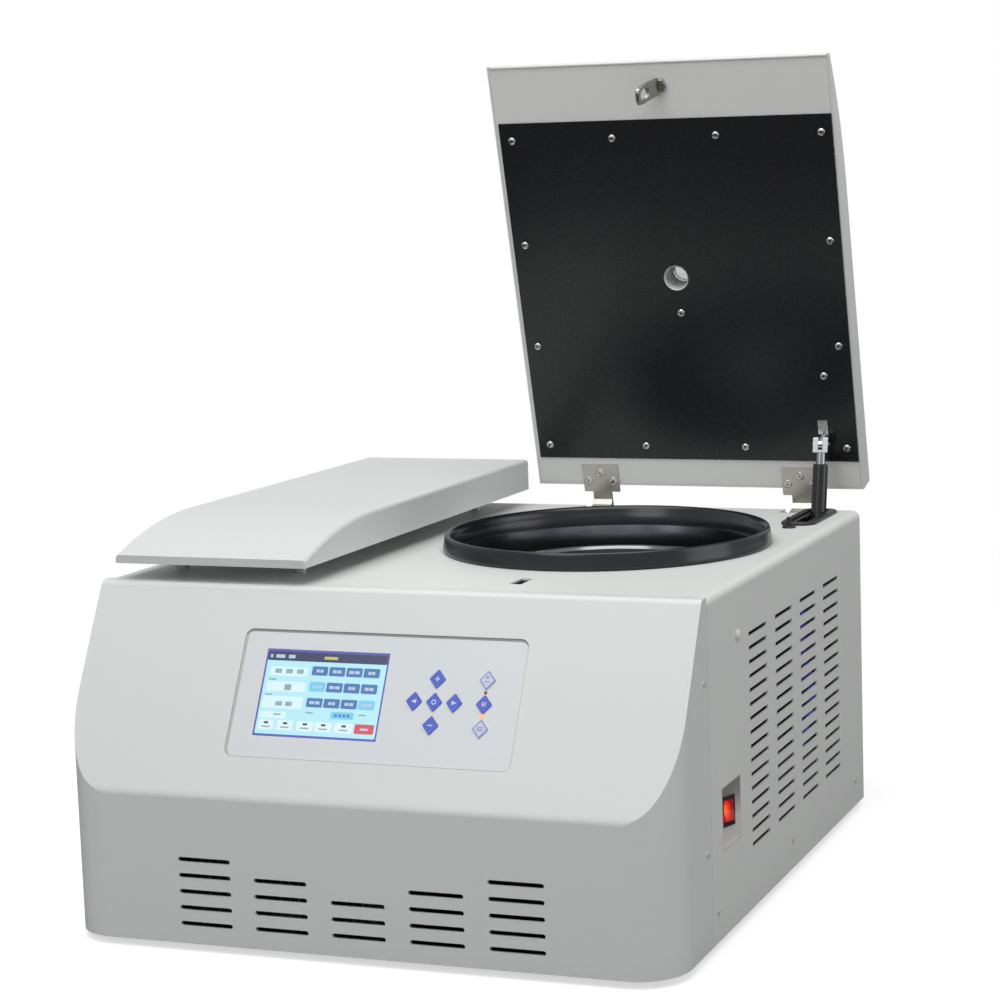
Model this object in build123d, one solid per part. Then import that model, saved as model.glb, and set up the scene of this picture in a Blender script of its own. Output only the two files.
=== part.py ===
from build123d import *
import math
import os

# Refrigerated high-speed bench centrifuge, lid open, in millimetres.
# The origin is on the table under the middle of the cabinet. X is right, Y is back, Z is up.

# Cabinet
BODY_W = 660.0
BODY_D = 720.0
BODY_H = 350.0
FOOT_H = 8.0
FOOT_R = 20.0
FOOT_INSET = 75.0
SHEET = 2.0
MOULD_WALL = 3.5
MOULD_D = 120.0
CORNER_R = 50.0
DECK_EDGE_R = 9.0
LIP_RUN = 14.0
LIP_R = 8.0
BEND_H = 154.0
BEND_R = 14.0
SEAM_GAP = 0.5
SLIDE_GAP = 0.3

HALF_W = BODY_W / 2
FRONT = -BODY_D / 2
REAR = BODY_D / 2
SEAM = FRONT + MOULD_D
BASE = FOOT_H
DECK = BASE + BODY_H
UNDER_DECK = DECK - SHEET
BEND = BASE + BEND_H
LIP = SEAM - LIP_RUN

# Chassis pan
PAN_T = 2.5
PAN_FLANGE_H = 38.0
PAN_GAP = 0.3
PAN_TOP = BASE + PAN_T
PAN_HALF_W = HALF_W - SHEET - PAN_GAP
PAN_FRONT = FRONT + 8.0
PAN_REAR = REAR - 6.0

# Control panel, measured along the slanted face: u to the right, v up the slope
PANEL_W = 310.0
PANEL_H = 134.0
PANEL_X = 5.0
PANEL_DOWN = 113.2
PANEL_CORNER_R = 9.0
PANEL_T = 1.8
RECESS_DEPTH = 2.6
RECESS_GAP = 0.6
SCREEN_W = 136.0
SCREEN_H = 91.0
SCREEN_X = PANEL_X - 59.5
SCREEN_DOWN = PANEL_DOWN - 1.2
SCREEN_T = 8.0
KEY_HALF_W = 8.6
KEY_HALF_H = 9.9
KEY_CORNER_R = 1.2
KEY_GAP = 0.3
KEY_PROUD = 1.0
KEY_TRAVEL = 0.6
KEY_STEM_R = 3.0
PAD_X = PANEL_X + 64.0
PAD_DOWN = PANEL_DOWN + 1.1
PAD_STEP_X = 21.5
PAD_STEP_Y = 23.7
COLUMN_X = PAD_X + 53.0
COLUMN_STEP = 24.7
LED_R = 2.0
LED_DOWN = (PAD_DOWN - 12.0, PAD_DOWN + 11.6)
BOARD_W = PANEL_W - 14.0
BOARD_H = PANEL_H - 12.0
BOARD_T = 1.6
BOARD_DEPTH = 14.0
BOSS_R = 3.5

# Cooling slots
FRONT_SLOT_W = 58.5
FRONT_SLOT_H = 5.0
FRONT_SLOT_PITCH_X = 84.2
FRONT_SLOT_PITCH_Z = 16.6
FRONT_SLOT_X = 2.0
FRONT_SLOT_Z = BASE + 20.8
FRONT_SLOT_ROWS = (5, 4, 3, 4, 5)
SIDE_SLOT_L = 64.0
SIDE_SLOT_H = 4.6
SIDE_SLOT_Y = SEAM + 138.0
SIDE_SLOT_PITCH_Y = 97.0
SIDE_SLOT_Z = BASE + 66.5
SIDE_SLOT_PITCH_Z = 14.75
SIDE_SLOT_COLUMNS = 4
SIDE_SLOT_ROWS = 16
LEFT_SLOT_COLUMNS = 4
LEFT_SLOT_ROWS = 9
REAR_SLOT_L = 90.0
REAR_SLOT_PITCH_X = 120.0
REAR_SLOT_PITCH_Z = 15.0
REAR_SLOT_ROWS = 8

# Power switch pocket in the right side
POCKET_Y = SEAM + 36.0
POCKET_L = 62.0
POCKET_Z = BASE + 86.0
POCKET_H = 65.0
POCKET_DEPTH = 18.0
POCKET_WALL = 2.0
POCKET_NEAR = 3.0
POCKET_FLANGE_W = 6.0
SWITCH_W = 23.0
SWITCH_H = 31.0
SWITCH_RIM = 2.4
SWITCH_PROUD = 1.6
SWITCH_BODY = 17.0
SWITCH_ALONG = 37.0
ROCKER_GAP = 0.3
ROCKER_TILT = 9.0
ROCKER_AXIS = -2.5

# Emergency lid release plug in the right side
PLUG_Y = SEAM + 98.0
PLUG_Z = DECK - 55.3
PLUG_R = 4.4
PLUG_HEAD_R = 5.4
PLUG_L = 14.0

# Chamber, centred under the lid
CH_X = HALF_W - 210.0
CH_Y = SEAM + 300.0
DECK_HOLE_R = 170.0
BOWL_R = 163.5
BOWL_WALL = 1.5
BOWL_FLANGE_R = 180.0
BOWL_FLOOR = DECK - 153.5
BOWL_CORNER_R = 24.0
BOWL_NECK_R = 32.0
BOWL_NECK_H = 10.0
SEAL_TOP = DECK + 19.2
SEAL_RIM_R = 179.6
SEAL_MOUTH_R = 171.5
SEAL_SKIRT_R = 182.0
SEAL_STEP = 2.6
SEAL_BOTTOM = DECK - 28.0
FOAM_HALF = 190.0
FOAM_FLOOR = 7.0
COIL_R = 170.0
COIL_TUBE_R = 4.0
COIL_TURNS = 4
COIL_PITCH = 24.0
COIL_BOTTOM = BOWL_FLOOR + 25.5

# Drive
SHAFT_R = 8.0
SHAFT_END_R = 5.0
SHAFT_GAP = 0.05
MOTOR_R = 72.0
MOTOR_BOTTOM = BASE + 40.0
MOTOR_TOP = BOWL_FLOOR - 16.5
MOTOR_NECK_R = 26.0
MOTOR_FIN_DEPTH = 5.0
MOTOR_FINS = 6
MOTOR_PLATE_T = 6.0
MOTOR_PLATE_R = 98.0
MOUNT_R = 14.0
MOUNT_COUNT = 3
MOUNT_CIRCLE_R = 84.0

# Rotor
ROTOR_R = 118.0
ROTOR_TOP = DECK - 18.0
ROTOR_BOTTOM = DECK - 110.0
ROTOR_RIM = 12.0
ROTOR_HUB_R = 30.0
ROTOR_HUB_DROP = 40.0
ROTOR_FOOT_R = 70.0
TUBES = 6
TUBE_R = 14.75
TUBE_CIRCLE_R = 68.0
TUBE_DEPTH = 60.0
NUT_R = 15.0
NUT_BASE_R = 22.0

# Raised cover slab on the left, and the lid, which share one nose profile
COVER_TOP = DECK + 55.0
NOSE_RUN = 157.0
NOSE_DROP = 28.5
COVER_EDGE_R = 4.0
COVER_WALL = 2.5
SLAB_X0 = 16.0 - HALF_W
SLAB_GAP = 9.0
SLAB_Y0 = SEAM - 12.0
SLAB_Y1 = REAR + 2.0
SLAB_BOTTOM = DECK + 18.0
POST_R = 7.0
POST_SCREW_R = 11.0
POST_Y = (SEAM + 68.0, REAR - 60.0)

# Lid, described closed and then opened about the hinge pin
LID_OPEN = 76.0
PIN_Y = REAR - 14.0
PIN_Z = DECK - 21.0
PIN_R = 4.0
PIN_GAP = 0.05
LID_W = 416.0
LID_X1 = HALF_W + 1.0
LID_X0 = LID_X1 - LID_W
SLAB_X1 = LID_X0 - SLAB_GAP
POST_X = (SLAB_X0 + 33.0, SLAB_X1 - 46.0)
LID_REAR = PIN_Y - 35.0
LID_FRONT = SEAM + 25.0
LID_UNDER = DECK + 21.0
LID_PAN_T = 1.5
LINER_T = 1.5
LINER_X0 = LID_X0 + 6.0
LINER_X1 = LID_X1 - 3.0
LINER_REAR = PIN_Y - 71.0
LINER_FRONT = LID_FRONT + 68.0
LINER_SCREW_X = tuple(LINER_X1 - inset for inset in (392.0, 266.0, 139.0, 13.0))
LINER_SCREW_REAR = PIN_Y - 88.0
LINER_SCREW_PITCH = (LINER_SCREW_REAR - LINER_FRONT - 21.0) / 3
LINER_SCREW_R = 4.0
LINER_SCREW_H = 2.2
LINER_PLUG_X = LINER_X1 - 35.4
LINER_PLUG_Y = PIN_Y - 175.0
LINER_PLUG_R = 4.2
PORT_X = CH_X + 3.0
PORT_Y = CH_Y - 15.0
PORT_R = 15.5
PORT_BORE_R = 12.0
PORT_FLANGE_R = 19.0
GLASS_T = 3.0

# Hinges: a gooseneck arm on the lid turns about a pin under the rear edge of the deck
HINGE_X = (LID_X1 - 333.0, LID_X1 - 77.0)
LEAF_W = 46.0
LEAF_T = 3.0
LEAF_REAR = PIN_Y - 27.0
LEAF_FRONT = PIN_Y - 62.0
ARM_W = 24.0
ARM_T = 4.0
KNUCKLE_R = 8.0
CHEEK_T = 3.0
CHEEK_GAP = 0.4
CHEEK_BELOW = 15.0
EAR_L = 7.0
ARM_CHEEK_T = 2.5
ARM_INSIDE = PIN_Y - 12.0
NOTCH_FRONT = ARM_INSIDE - 2.0
NOTCH_W = ARM_W + 2 * CHEEK_GAP + 2 * CHEEK_T + 0.6
HINGE_SCREW_R = 4.2
HINGE_SCREW_H = 1.4

# Latch: a striker eye on the lid and a sliding bolt under the deck
STRIKER_X = CH_X - 5.0
STRIKER_Y = LID_FRONT + 31.0
STRIKER_L = 42.0
STRIKER_W = 22.0
STRIKER_T = 7.0
STRIKER_EYE_R = 6.0
STRIKER_EYE = 33.0
STRIKER_FOOT_R = 10.0
STRIKER_FOOT_T = 3.0
LATCH_SLOT_W = 13.0
LATCH_SLOT_L = 34.0
LOCK_W = 56.0
LOCK_L = 50.0
LOCK_BOTTOM = DECK - 42.0
BOLT_R = 4.0
BOLT_L = 44.0
SOLENOID_R = 14.0
SOLENOID_L = 38.0

# Gas spring: the cylinder hangs from a bracket on the lid liner, the rod points down into the cabinet
STRUT_X = HALF_W - 42.0
STRUT_TOP_Y = PIN_Y - 98.0
STRUT_TOP_DROP = 16.0
STRUT_FOOT_Y = PIN_Y - 56.0
STRUT_FOOT_Z = BASE + 180.0
STRUT_R = 9.0
STRUT_NECK_R = 5.8
STRUT_NECK = 24.0
STRUT_END = 164.0
STRUT_BORE_GAP = 0.05
ROD_R = 4.0
ROD_TOP = 60.0
CLEVIS_W = 18.0
CLEVIS_D = 10.0
CLEVIS_UP = 9.0
CLEVIS_DOWN = 10.0
CLEVIS_SLOT = 5.6
CLEVIS_ROOT = 6.9
CLEVIS_PIN_R = 3.0
EYE_R = 7.0
EYE_T = 7.0
BRACKET_W = 12.0
BRACKET_FOOT_L = 26.0
BRACKET_FOOT_T = 2.5
ANCHOR_GAP = 0.3
BALL_R = 4.5
BOOT_X = STRUT_X - 1.0
BOOT_W = 42.0
BOOT_Y0 = PIN_Y - 116.0
BOOT_Y1 = PIN_Y + 6.0
BOOT_H = 3.5
BOOT_R = 16.0
BOOT_SLOT_W = 25.0
BOOT_SLOT_Y0 = PIN_Y - 106.0
BOOT_SLOT_Y1 = PIN_Y - 2.0
STOP_X = STRUT_X - 4.0
STOP_Y = PIN_Y - 131.0

# Refrigeration and power parts
BAY_X = (CH_X - FOAM_HALF - HALF_W) / 2
COMPRESSOR_X = BAY_X - 5.0
COMPRESSOR_Y = REAR - 170.0
COMPRESSOR_R = 74.0
COMPRESSOR_H = 190.0
CONDENSER_X = 210.0 - HALF_W
CONDENSER_W = 230.0
CONDENSER_H = 130.0
CONDENSER_D = 40.0
CONDENSER_Y = FRONT + 26.0
FIN_T = 1.2
FIN_PITCH = 10.0
FAN_X = CONDENSER_X
FAN_R = 56.0
FAN_HUB_R = 20.0
FAN_BLADES = 7
FAN_SIZE = 124.0
FAN_D = 28.0
FAN_TIP_GAP = 2.0
INVERTER_X = BAY_X + 10.0
INVERTER_Y = SEAM + 200.0
INVERTER_W = 180.0
INVERTER_L = 150.0
INVERTER_H = 70.0
INLET_X = BAY_X + 20.0
INLET_Z = BASE + 60.0
INLET_W = 50.0
INLET_H = 34.0
INLET_D = 26.0
WIRE_R = 2.2
WIRE_X = HALF_W - SHEET - 8.0
WIRE_PITCH = 7.0
WIRE_COUNT = 4
WIRE_Y = SEAM + 348.0
WIRE_BOTTOM = BASE + 120.0
WIRE_TOP = BASE + 262.0
WIRE_BEND_R = 16.0
WIRE_REACH = 30.0
SCREW_R = 3.2
SCREW_HEAD = 1.2
PANEL_SCREW_Z = BASE + 31.0
PANEL_SCREW_Y = (SEAM + 16.0, SEAM + 287.0, SEAM + 561.0)
FLANK_SCREW_Y = SEAM - 13.0
FLANK_SCREW_Z = (BASE + 97.0, BASE + 267.0)

os.makedirs("parts", exist_ok=True)


def save(name, *solids):
    """Writes the solids of one sub-part as one STEP file."""
    shape = solids[0] if len(solids) == 1 else Compound(children=list(solids))
    export_step(shape, f"parts/{name}.step")


def block(x0, x1, y0, y1, z0, z1):
    return Pos((x0 + x1) / 2, (y0 + y1) / 2, (z0 + z1) / 2) * Box(x1 - x0, y1 - y0, z1 - z0)


def post(x, y, z0, z1, r):
    return Pos(x, y, (z0 + z1) / 2) * Cylinder(r, z1 - z0)


def bar_x(x0, x1, y, z, r):
    return Pos((x0 + x1) / 2, y, z) * Rot(0, 90, 0) * Cylinder(r, x1 - x0)


def bar_y(x, y0, y1, z, r):
    return Pos(x, (y0 + y1) / 2, z) * Rot(90, 0, 0) * Cylinder(r, y1 - y0)


def yz_prism(points, x0, x1):
    """Extrudes an outline given as (y, z) from x0 to x1."""
    face = make_face(Plane.YZ * Polyline(*points, close=True))
    return Pos(x0, 0, 0) * extrude(face, x1 - x0, dir=(1, 0, 0))


def turned(points, x, y):
    """Turns an outline given as (radius, z) about the vertical line at x, y."""
    face = make_face(Plane.XZ * Polyline(*points, close=True))
    return Pos(x, y, 0) * revolve(face, Axis.Z)


def opened(shape):
    """Swings a lid piece from closed to open about the hinge pin."""
    return Pos(0, PIN_Y, PIN_Z) * Rot(-LID_OPEN, 0, 0) * Pos(0, -PIN_Y, -PIN_Z) * shape


# Slanted face: its frame has its origin at the top edge, x to the right and y up the slope
slope = Vector(0, LIP - FRONT, DECK - BEND).normalized()
slope_normal = Vector(0, -slope.Z, slope.Y)
slope_plane = Plane(origin=(0, LIP, DECK), x_dir=(1, 0, 0), z_dir=slope_normal)


def on_slope(x, down, height=0.0):
    """A place on the slanted face, down from its top edge and out along its normal."""
    return slope_plane * Pos(x, -down, height)


# Cabinet shells


def plan_block(inset, z0, z1):
    """The moulding's plan, with its two rounded front corners, drawn in by inset."""
    w = HALF_W - inset
    y0 = FRONT + inset
    r = CORNER_R - inset
    plan = block(-w, w, y0, SEAM + CORNER_R, z0, z1)
    corners = plan.edges().filter_by(Axis.Z).group_by(Axis.Y)[0]
    return fillet(corners, r)


def moulding_profile(inset, z0):
    """The moulding's side profile, with its bend and its top lip, drawn in by inset."""
    y0 = FRONT + inset
    top = DECK - inset
    rear = SEAM - SEAM_GAP
    lip = LIP - inset * (1 - slope_normal.Z) / slope_normal.Y
    bend = DECK - (inset + slope_normal.Y * (y0 - LIP)) / slope_normal.Z
    prism = yz_prism([(y0, z0), (y0, bend), (lip, top), (rear, top), (rear, z0)], -HALF_W, HALF_W)
    edges = prism.edges().filter_by(Axis.X)
    prism = fillet(edges.sort_by_distance((0, y0, bend))[0], BEND_R - inset)
    edges = prism.edges().filter_by(Axis.X)
    return fillet(edges.sort_by_distance((0, lip, top))[0], LIP_R - inset)


def key_centres():
    """Name, place across the panel and place down the slope of each key."""
    return [
        ("key_plus", PAD_X, PAD_DOWN - PAD_STEP_Y),
        ("key_left", PAD_X - PAD_STEP_X, PAD_DOWN),
        ("key_enter", PAD_X, PAD_DOWN),
        ("key_right", PAD_X + PAD_STEP_X, PAD_DOWN),
        ("key_minus", PAD_X, PAD_DOWN + PAD_STEP_Y),
        ("key_program", COLUMN_X, PAD_DOWN - COLUMN_STEP),
        ("key_start", COLUMN_X, PAD_DOWN),
        ("key_stop", COLUMN_X, PAD_DOWN + COLUMN_STEP),
    ]


def diamond(half_w, half_h, corner_r):
    points = [(half_w, 0), (0, half_h), (-half_w, 0), (0, -half_h)]
    face = make_face(Polyline(*points, close=True))
    return fillet(face.vertices(), corner_r)


def make_front_moulding():
    outer = moulding_profile(0, BASE) & plan_block(0, BASE, DECK)
    inner = moulding_profile(MOULD_WALL, BASE - 1) & plan_block(MOULD_WALL, BASE - 1, DECK)
    inner += block(-HALF_W + MOULD_WALL, HALF_W - MOULD_WALL, SEAM - 2, SEAM + 2, BASE - 1, DECK - MOULD_WALL)
    shell = outer - inner
    backing = on_slope(PANEL_X, PANEL_DOWN, -RECESS_DEPTH - 1.7) * Box(PANEL_W + 12, PANEL_H + 12, 3.4)
    shell += backing
    recess = extrude(RectangleRounded(PANEL_W, PANEL_H, PANEL_CORNER_R), 20)
    shell -= on_slope(PANEL_X, PANEL_DOWN, -RECESS_DEPTH) * recess
    shell -= on_slope(SCREEN_X, SCREEN_DOWN) * Box(SCREEN_W - 6, SCREEN_H - 6, 30)
    keys_x = (PAD_X - PAD_STEP_X + COLUMN_X) / 2
    keys_w = COLUMN_X - PAD_X + PAD_STEP_X + 2 * KEY_HALF_W + 6
    keys_h = 2 * COLUMN_STEP + 2 * KEY_HALF_H + 6
    shell -= on_slope(keys_x, PAD_DOWN) * Box(keys_w, keys_h, 30)
    slot = extrude(SlotOverall(FRONT_SLOT_W, FRONT_SLOT_H), 10, both=True)
    columns = len(FRONT_SLOT_ROWS)
    for column, rows in enumerate(FRONT_SLOT_ROWS):
        x = FRONT_SLOT_X + (column - (columns - 1) / 2) * FRONT_SLOT_PITCH_X
        for row in range(rows):
            shell -= Pos(x, FRONT, FRONT_SLOT_Z + row * FRONT_SLOT_PITCH_Z) * Rot(90, 0, 0) * slot
    for x in (-PANEL_W / 2 + 8, PANEL_W / 2 - 8):
        for down in (-PANEL_H / 2 + 8, PANEL_H / 2 - 8):
            depth = BOARD_DEPTH - RECESS_DEPTH - 3.4
            centre = -RECESS_DEPTH - 3.4 - depth / 2
            shell += on_slope(PANEL_X + x, PANEL_DOWN + down, centre) * Cylinder(BOSS_R, depth)
    return shell


def notch_x(hinge_x):
    return hinge_x - NOTCH_W / 2, hinge_x + NOTCH_W / 2


def make_cabinet_wrap():
    outer = block(-HALF_W, HALF_W, SEAM, REAR, BASE, DECK)
    top_edges = outer.edges().filter_by(Axis.Y).group_by(Axis.Z)[-1]
    outer = fillet(top_edges, DECK_EDGE_R)
    inner = block(-HALF_W + SHEET, HALF_W - SHEET, SEAM - 1, REAR + 1, BASE - 1, UNDER_DECK)
    inner_edges = inner.edges().filter_by(Axis.Y).group_by(Axis.Z)[-1]
    wrap = outer - fillet(inner_edges, DECK_EDGE_R - SHEET)
    wrap -= post(CH_X, CH_Y, UNDER_DECK - 1, DECK + 1, DECK_HOLE_R)
    wrap -= block(
        STRIKER_X - LATCH_SLOT_W / 2, STRIKER_X + LATCH_SLOT_W / 2,
        STRIKER_Y - LATCH_SLOT_L / 2, STRIKER_Y + LATCH_SLOT_L / 2, UNDER_DECK - 1, DECK + 1,
    )
    wrap -= block(
        BOOT_X - BOOT_SLOT_W / 2, BOOT_X + BOOT_SLOT_W / 2,
        BOOT_SLOT_Y0, BOOT_SLOT_Y1, UNDER_DECK - 1, DECK + 1,
    )
    for hinge_x in HINGE_X:
        x0, x1 = notch_x(hinge_x)
        wrap -= block(x0, x1, NOTCH_FRONT, REAR + 1, UNDER_DECK - 1, DECK + 1)
    for column in range(SIDE_SLOT_COLUMNS):
        y0 = SIDE_SLOT_Y + column * SIDE_SLOT_PITCH_Y
        for row in range(SIDE_SLOT_ROWS):
            z = SIDE_SLOT_Z + row * SIDE_SLOT_PITCH_Z
            low, high = z - SIDE_SLOT_H / 2, z + SIDE_SLOT_H / 2
            wrap -= block(HALF_W - 5, HALF_W + 1, y0, y0 + SIDE_SLOT_L, low, high)
    for column in range(LEFT_SLOT_COLUMNS):
        y0 = SIDE_SLOT_Y + column * SIDE_SLOT_PITCH_Y
        for row in range(LEFT_SLOT_ROWS):
            z = SIDE_SLOT_Z + row * SIDE_SLOT_PITCH_Z
            low, high = z - SIDE_SLOT_H / 2, z + SIDE_SLOT_H / 2
            wrap -= block(-HALF_W - 1, -HALF_W + 5, y0, y0 + SIDE_SLOT_L, low, high)
    wrap -= block(HALF_W - 5, HALF_W + 1, POCKET_Y, POCKET_Y + POCKET_L, POCKET_Z, POCKET_Z + POCKET_H)
    wrap -= bar_x(HALF_W - 5, HALF_W + 1, PLUG_Y, PLUG_Z, PLUG_R + SLIDE_GAP)
    lip_out = HALF_W - MOULD_WALL - PAN_GAP
    for side in (-1, 1):
        root = sorted((side * (lip_out - SHEET), side * (HALF_W - SHEET)))
        lip = sorted((side * (lip_out - SHEET), side * lip_out))
        wrap += block(*root, SEAM + 2, SEAM + 14, BASE + 50, DECK - 50)
        wrap += block(*lip, SEAM - 24, SEAM + 14, BASE + 50, DECK - 50)
    return wrap


def make_base_plate():
    nose = HALF_W - MOULD_WALL - PAN_GAP
    pan = block(-nose, nose, PAN_FRONT, PAN_REAR, BASE, PAN_TOP)
    corners = pan.edges().filter_by(Axis.Z).group_by(Axis.Y)[0]
    pan = fillet(corners, CORNER_R - MOULD_WALL - PAN_GAP)
    pan += block(-PAN_HALF_W, PAN_HALF_W, SEAM, PAN_REAR, BASE, PAN_TOP)
    for side in (-1, 1):
        edge = sorted((side * (PAN_HALF_W - PAN_T), side * PAN_HALF_W))
        pan += block(*edge, SEAM + 8, PAN_REAR, BASE, BASE + PAN_FLANGE_H)
    pan += block(-PAN_HALF_W, PAN_HALF_W, PAN_REAR - PAN_T, PAN_REAR, BASE, BASE + PAN_FLANGE_H)
    for row in range(5):
        y = FAN_D + CONDENSER_Y + CONDENSER_D + 40 + row * FRONT_SLOT_PITCH_Z
        pan -= block(CONDENSER_X - 70, CONDENSER_X + 70, y, y + FRONT_SLOT_H, BASE - 1, PAN_TOP + 1)
    return pan


def make_feet():
    outline = [(0, BASE), (0, 0), (FOOT_R - 3, 0), (FOOT_R, BASE)]
    x = HALF_W - FOOT_INSET
    return [turned(outline, side * x, y) for side in (-1, 1) for y in (FRONT + FOOT_INSET, REAR - FOOT_INSET)]


def make_rear_panel():
    top = UNDER_DECK - PAN_GAP
    side = HALF_W - SHEET - PAN_GAP
    panel = block(-side, side, PAN_REAR, PAN_REAR + SHEET, BASE, top)
    corners = panel.edges().filter_by(Axis.Y).group_by(Axis.Z)[-1]
    panel = fillet(corners, DECK_EDGE_R - SHEET)
    for hinge_x in HINGE_X:
        x0, x1 = notch_x(hinge_x)
        panel -= block(x0, x1, REAR - 10, REAR + 1, PIN_Z - KNUCKLE_R - 3, top + 1)
    for column in range(3):
        x = CH_X + (column - 1) * REAR_SLOT_PITCH_X
        for row in range(REAR_SLOT_ROWS):
            z = SIDE_SLOT_Z + row * REAR_SLOT_PITCH_Z
            panel -= block(x - REAR_SLOT_L / 2, x + REAR_SLOT_L / 2, REAR - 10, REAR + 1, z, z + SIDE_SLOT_H)
    inlet_w = INLET_W - 6
    inlet_h = INLET_H - 6
    panel -= Pos(INLET_X, REAR, INLET_Z) * Box(inlet_w, 20, inlet_h)
    return panel


# Cover slab and lid shells


def nose_profile(y0, y1, bottom, top, inset=0.0):
    """Side outline of a cover: a flat top that falls in one arc to a thin front lip."""
    radius = (NOSE_RUN**2 + NOSE_DROP**2) / (2 * NOSE_DROP) - inset
    bend = Vector(0, y0 + NOSE_RUN, top - inset)
    front = y0 + inset
    run = bend.Y - front
    drop = radius - math.sqrt(radius**2 - run**2)
    lip = Vector(0, front, bend.Z - drop)
    half = math.asin(run / radius) / 2
    middle = Vector(0, bend.Y - radius * math.sin(half), bend.Z - radius * (1 - math.cos(half)))
    rear = y1 - inset
    lines = [
        Line((0, front, bottom), lip),
        ThreePointArc(lip, middle, bend),
        Line(bend, (0, rear, bend.Z)),
        Line((0, rear, bend.Z), (0, rear, bottom)),
        Line((0, rear, bottom), (0, front, bottom)),
    ]
    return make_face(lines)


def cover_shell(x0, x1, y0, y1, bottom, top):
    """A thin cover, open below, with rounded upper edges."""
    outer = Pos(x0, 0, 0) * extrude(nose_profile(y0, y1, bottom, top), x1 - x0, dir=(1, 0, 0))
    sides = [e for e in outer.edges() if e.center().Z > bottom + 4 and abs(e.center().X - (x0 + x1) / 2) > 5]
    sizes = [e.bounding_box().size for e in sides]
    sides = [e for e, size in zip(sides, sizes) if size.Z < NOSE_DROP + 1 and size.Y > 50]
    outer = fillet(sides, COVER_EDGE_R)
    cavity = nose_profile(y0, y1, bottom - 5, top, COVER_WALL)
    inner = Pos(x0 + COVER_WALL, 0, 0) * extrude(cavity, x1 - x0 - 2 * COVER_WALL, dir=(1, 0, 0))
    return outer - inner


def make_side_cover():
    cover = cover_shell(SLAB_X0, SLAB_X1, SLAB_Y0, SLAB_Y1, SLAB_BOTTOM, COVER_TOP)
    for x in POST_X:
        for y in POST_Y:
            reach = nose_height(y - SLAB_Y0)
            cover += post(x, y, SLAB_BOTTOM, COVER_TOP - reach - COVER_WALL / 2, POST_SCREW_R)
    return cover


def nose_height(back):
    """How far the cover's top has fallen at a distance behind its front edge."""
    if back >= NOSE_RUN:
        return 0.0
    radius = (NOSE_RUN**2 + NOSE_DROP**2) / (2 * NOSE_DROP)
    run = NOSE_RUN - back
    return radius - math.sqrt(radius**2 - run**2)


def make_cover_posts():
    return [post(x, y, DECK, SLAB_BOTTOM, POST_R) for x in POST_X for y in POST_Y]


def port_hole():
    return post(PORT_X, PORT_Y, LID_UNDER - 10, COVER_TOP + 5, PORT_R)


def make_lid_shell():
    shell = cover_shell(LID_X0, LID_X1, LID_FRONT, LID_REAR, LID_UNDER, COVER_TOP)
    return opened(shell - port_hole())


def make_lid_pan():
    gap = COVER_WALL + PAN_GAP
    pan = block(
        LID_X0 + gap, LID_X1 - gap, LID_FRONT + gap, LID_REAR - gap, LID_UNDER, LID_UNDER + LID_PAN_T
    )
    for hinge_x in HINGE_X:
        pan += block(
            hinge_x - LEAF_W / 2, hinge_x + LEAF_W / 2, LID_REAR - 40, LID_REAR - gap,
            LID_UNDER + LID_PAN_T, LID_UNDER + 3 * LID_PAN_T,
        )
    pan += block(LID_X0 + gap, LID_X1 - gap, LINER_REAR - 30, LINER_REAR - 26, LID_UNDER, LID_UNDER + 22)
    pan += block(LID_X0 + gap, LID_X1 - gap, LINER_FRONT + 26, LINER_FRONT + 30, LID_UNDER, LID_UNDER + 14)
    return opened(pan - port_hole())


def make_lid_liner():
    """Black sheet under the lid, with one rubber plug between its screws."""
    face = LID_UNDER - LINER_T
    liner = block(LINER_X0, LINER_X1, LINER_FRONT, LINER_REAR, face, LID_UNDER)
    liner += post(LINER_PLUG_X, LINER_PLUG_Y, face - 1, face + 1, LINER_PLUG_R)
    return opened(liner - port_hole())


def liner_screw_places():
    ys = [LINER_SCREW_REAR - LINER_SCREW_PITCH * row for row in range(4)]
    outer_x = (LINER_SCREW_X[0], LINER_SCREW_X[-1])
    edge = [(x, y) for x in LINER_SCREW_X for y in ys if x in outer_x or y in (ys[0], ys[-1])]
    return edge + [(PORT_X + 2, PORT_Y + 43)]


def make_liner_screws():
    face = LID_UNDER - LINER_T
    heads = []
    for x, y in liner_screw_places():
        tip = face - LINER_SCREW_H
        outline = [(0, face), (LINER_SCREW_R, face), (LINER_SCREW_R - 0.8, tip), (0, tip)]
        heads.append(opened(turned(outline, x, y)))
    return heads


def make_port_insert():
    """A threaded bush that lines the sight hole, with a flange inside the cover."""
    face = LID_UNDER - LINER_T
    top = COVER_TOP
    outline = [
        (PORT_BORE_R, face), (PORT_R - SLIDE_GAP, face), (PORT_R - SLIDE_GAP, top),
        (PORT_FLANGE_R, top), (PORT_FLANGE_R, top + 1.5), (PORT_BORE_R, top + 1.5),
    ]
    return opened(turned(outline, PORT_X, PORT_Y))


def make_port_glass():
    z = COVER_TOP - GLASS_T
    return opened(post(PORT_X, PORT_Y, z - GLASS_T, z, PORT_BORE_R))


# Hinges


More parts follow.
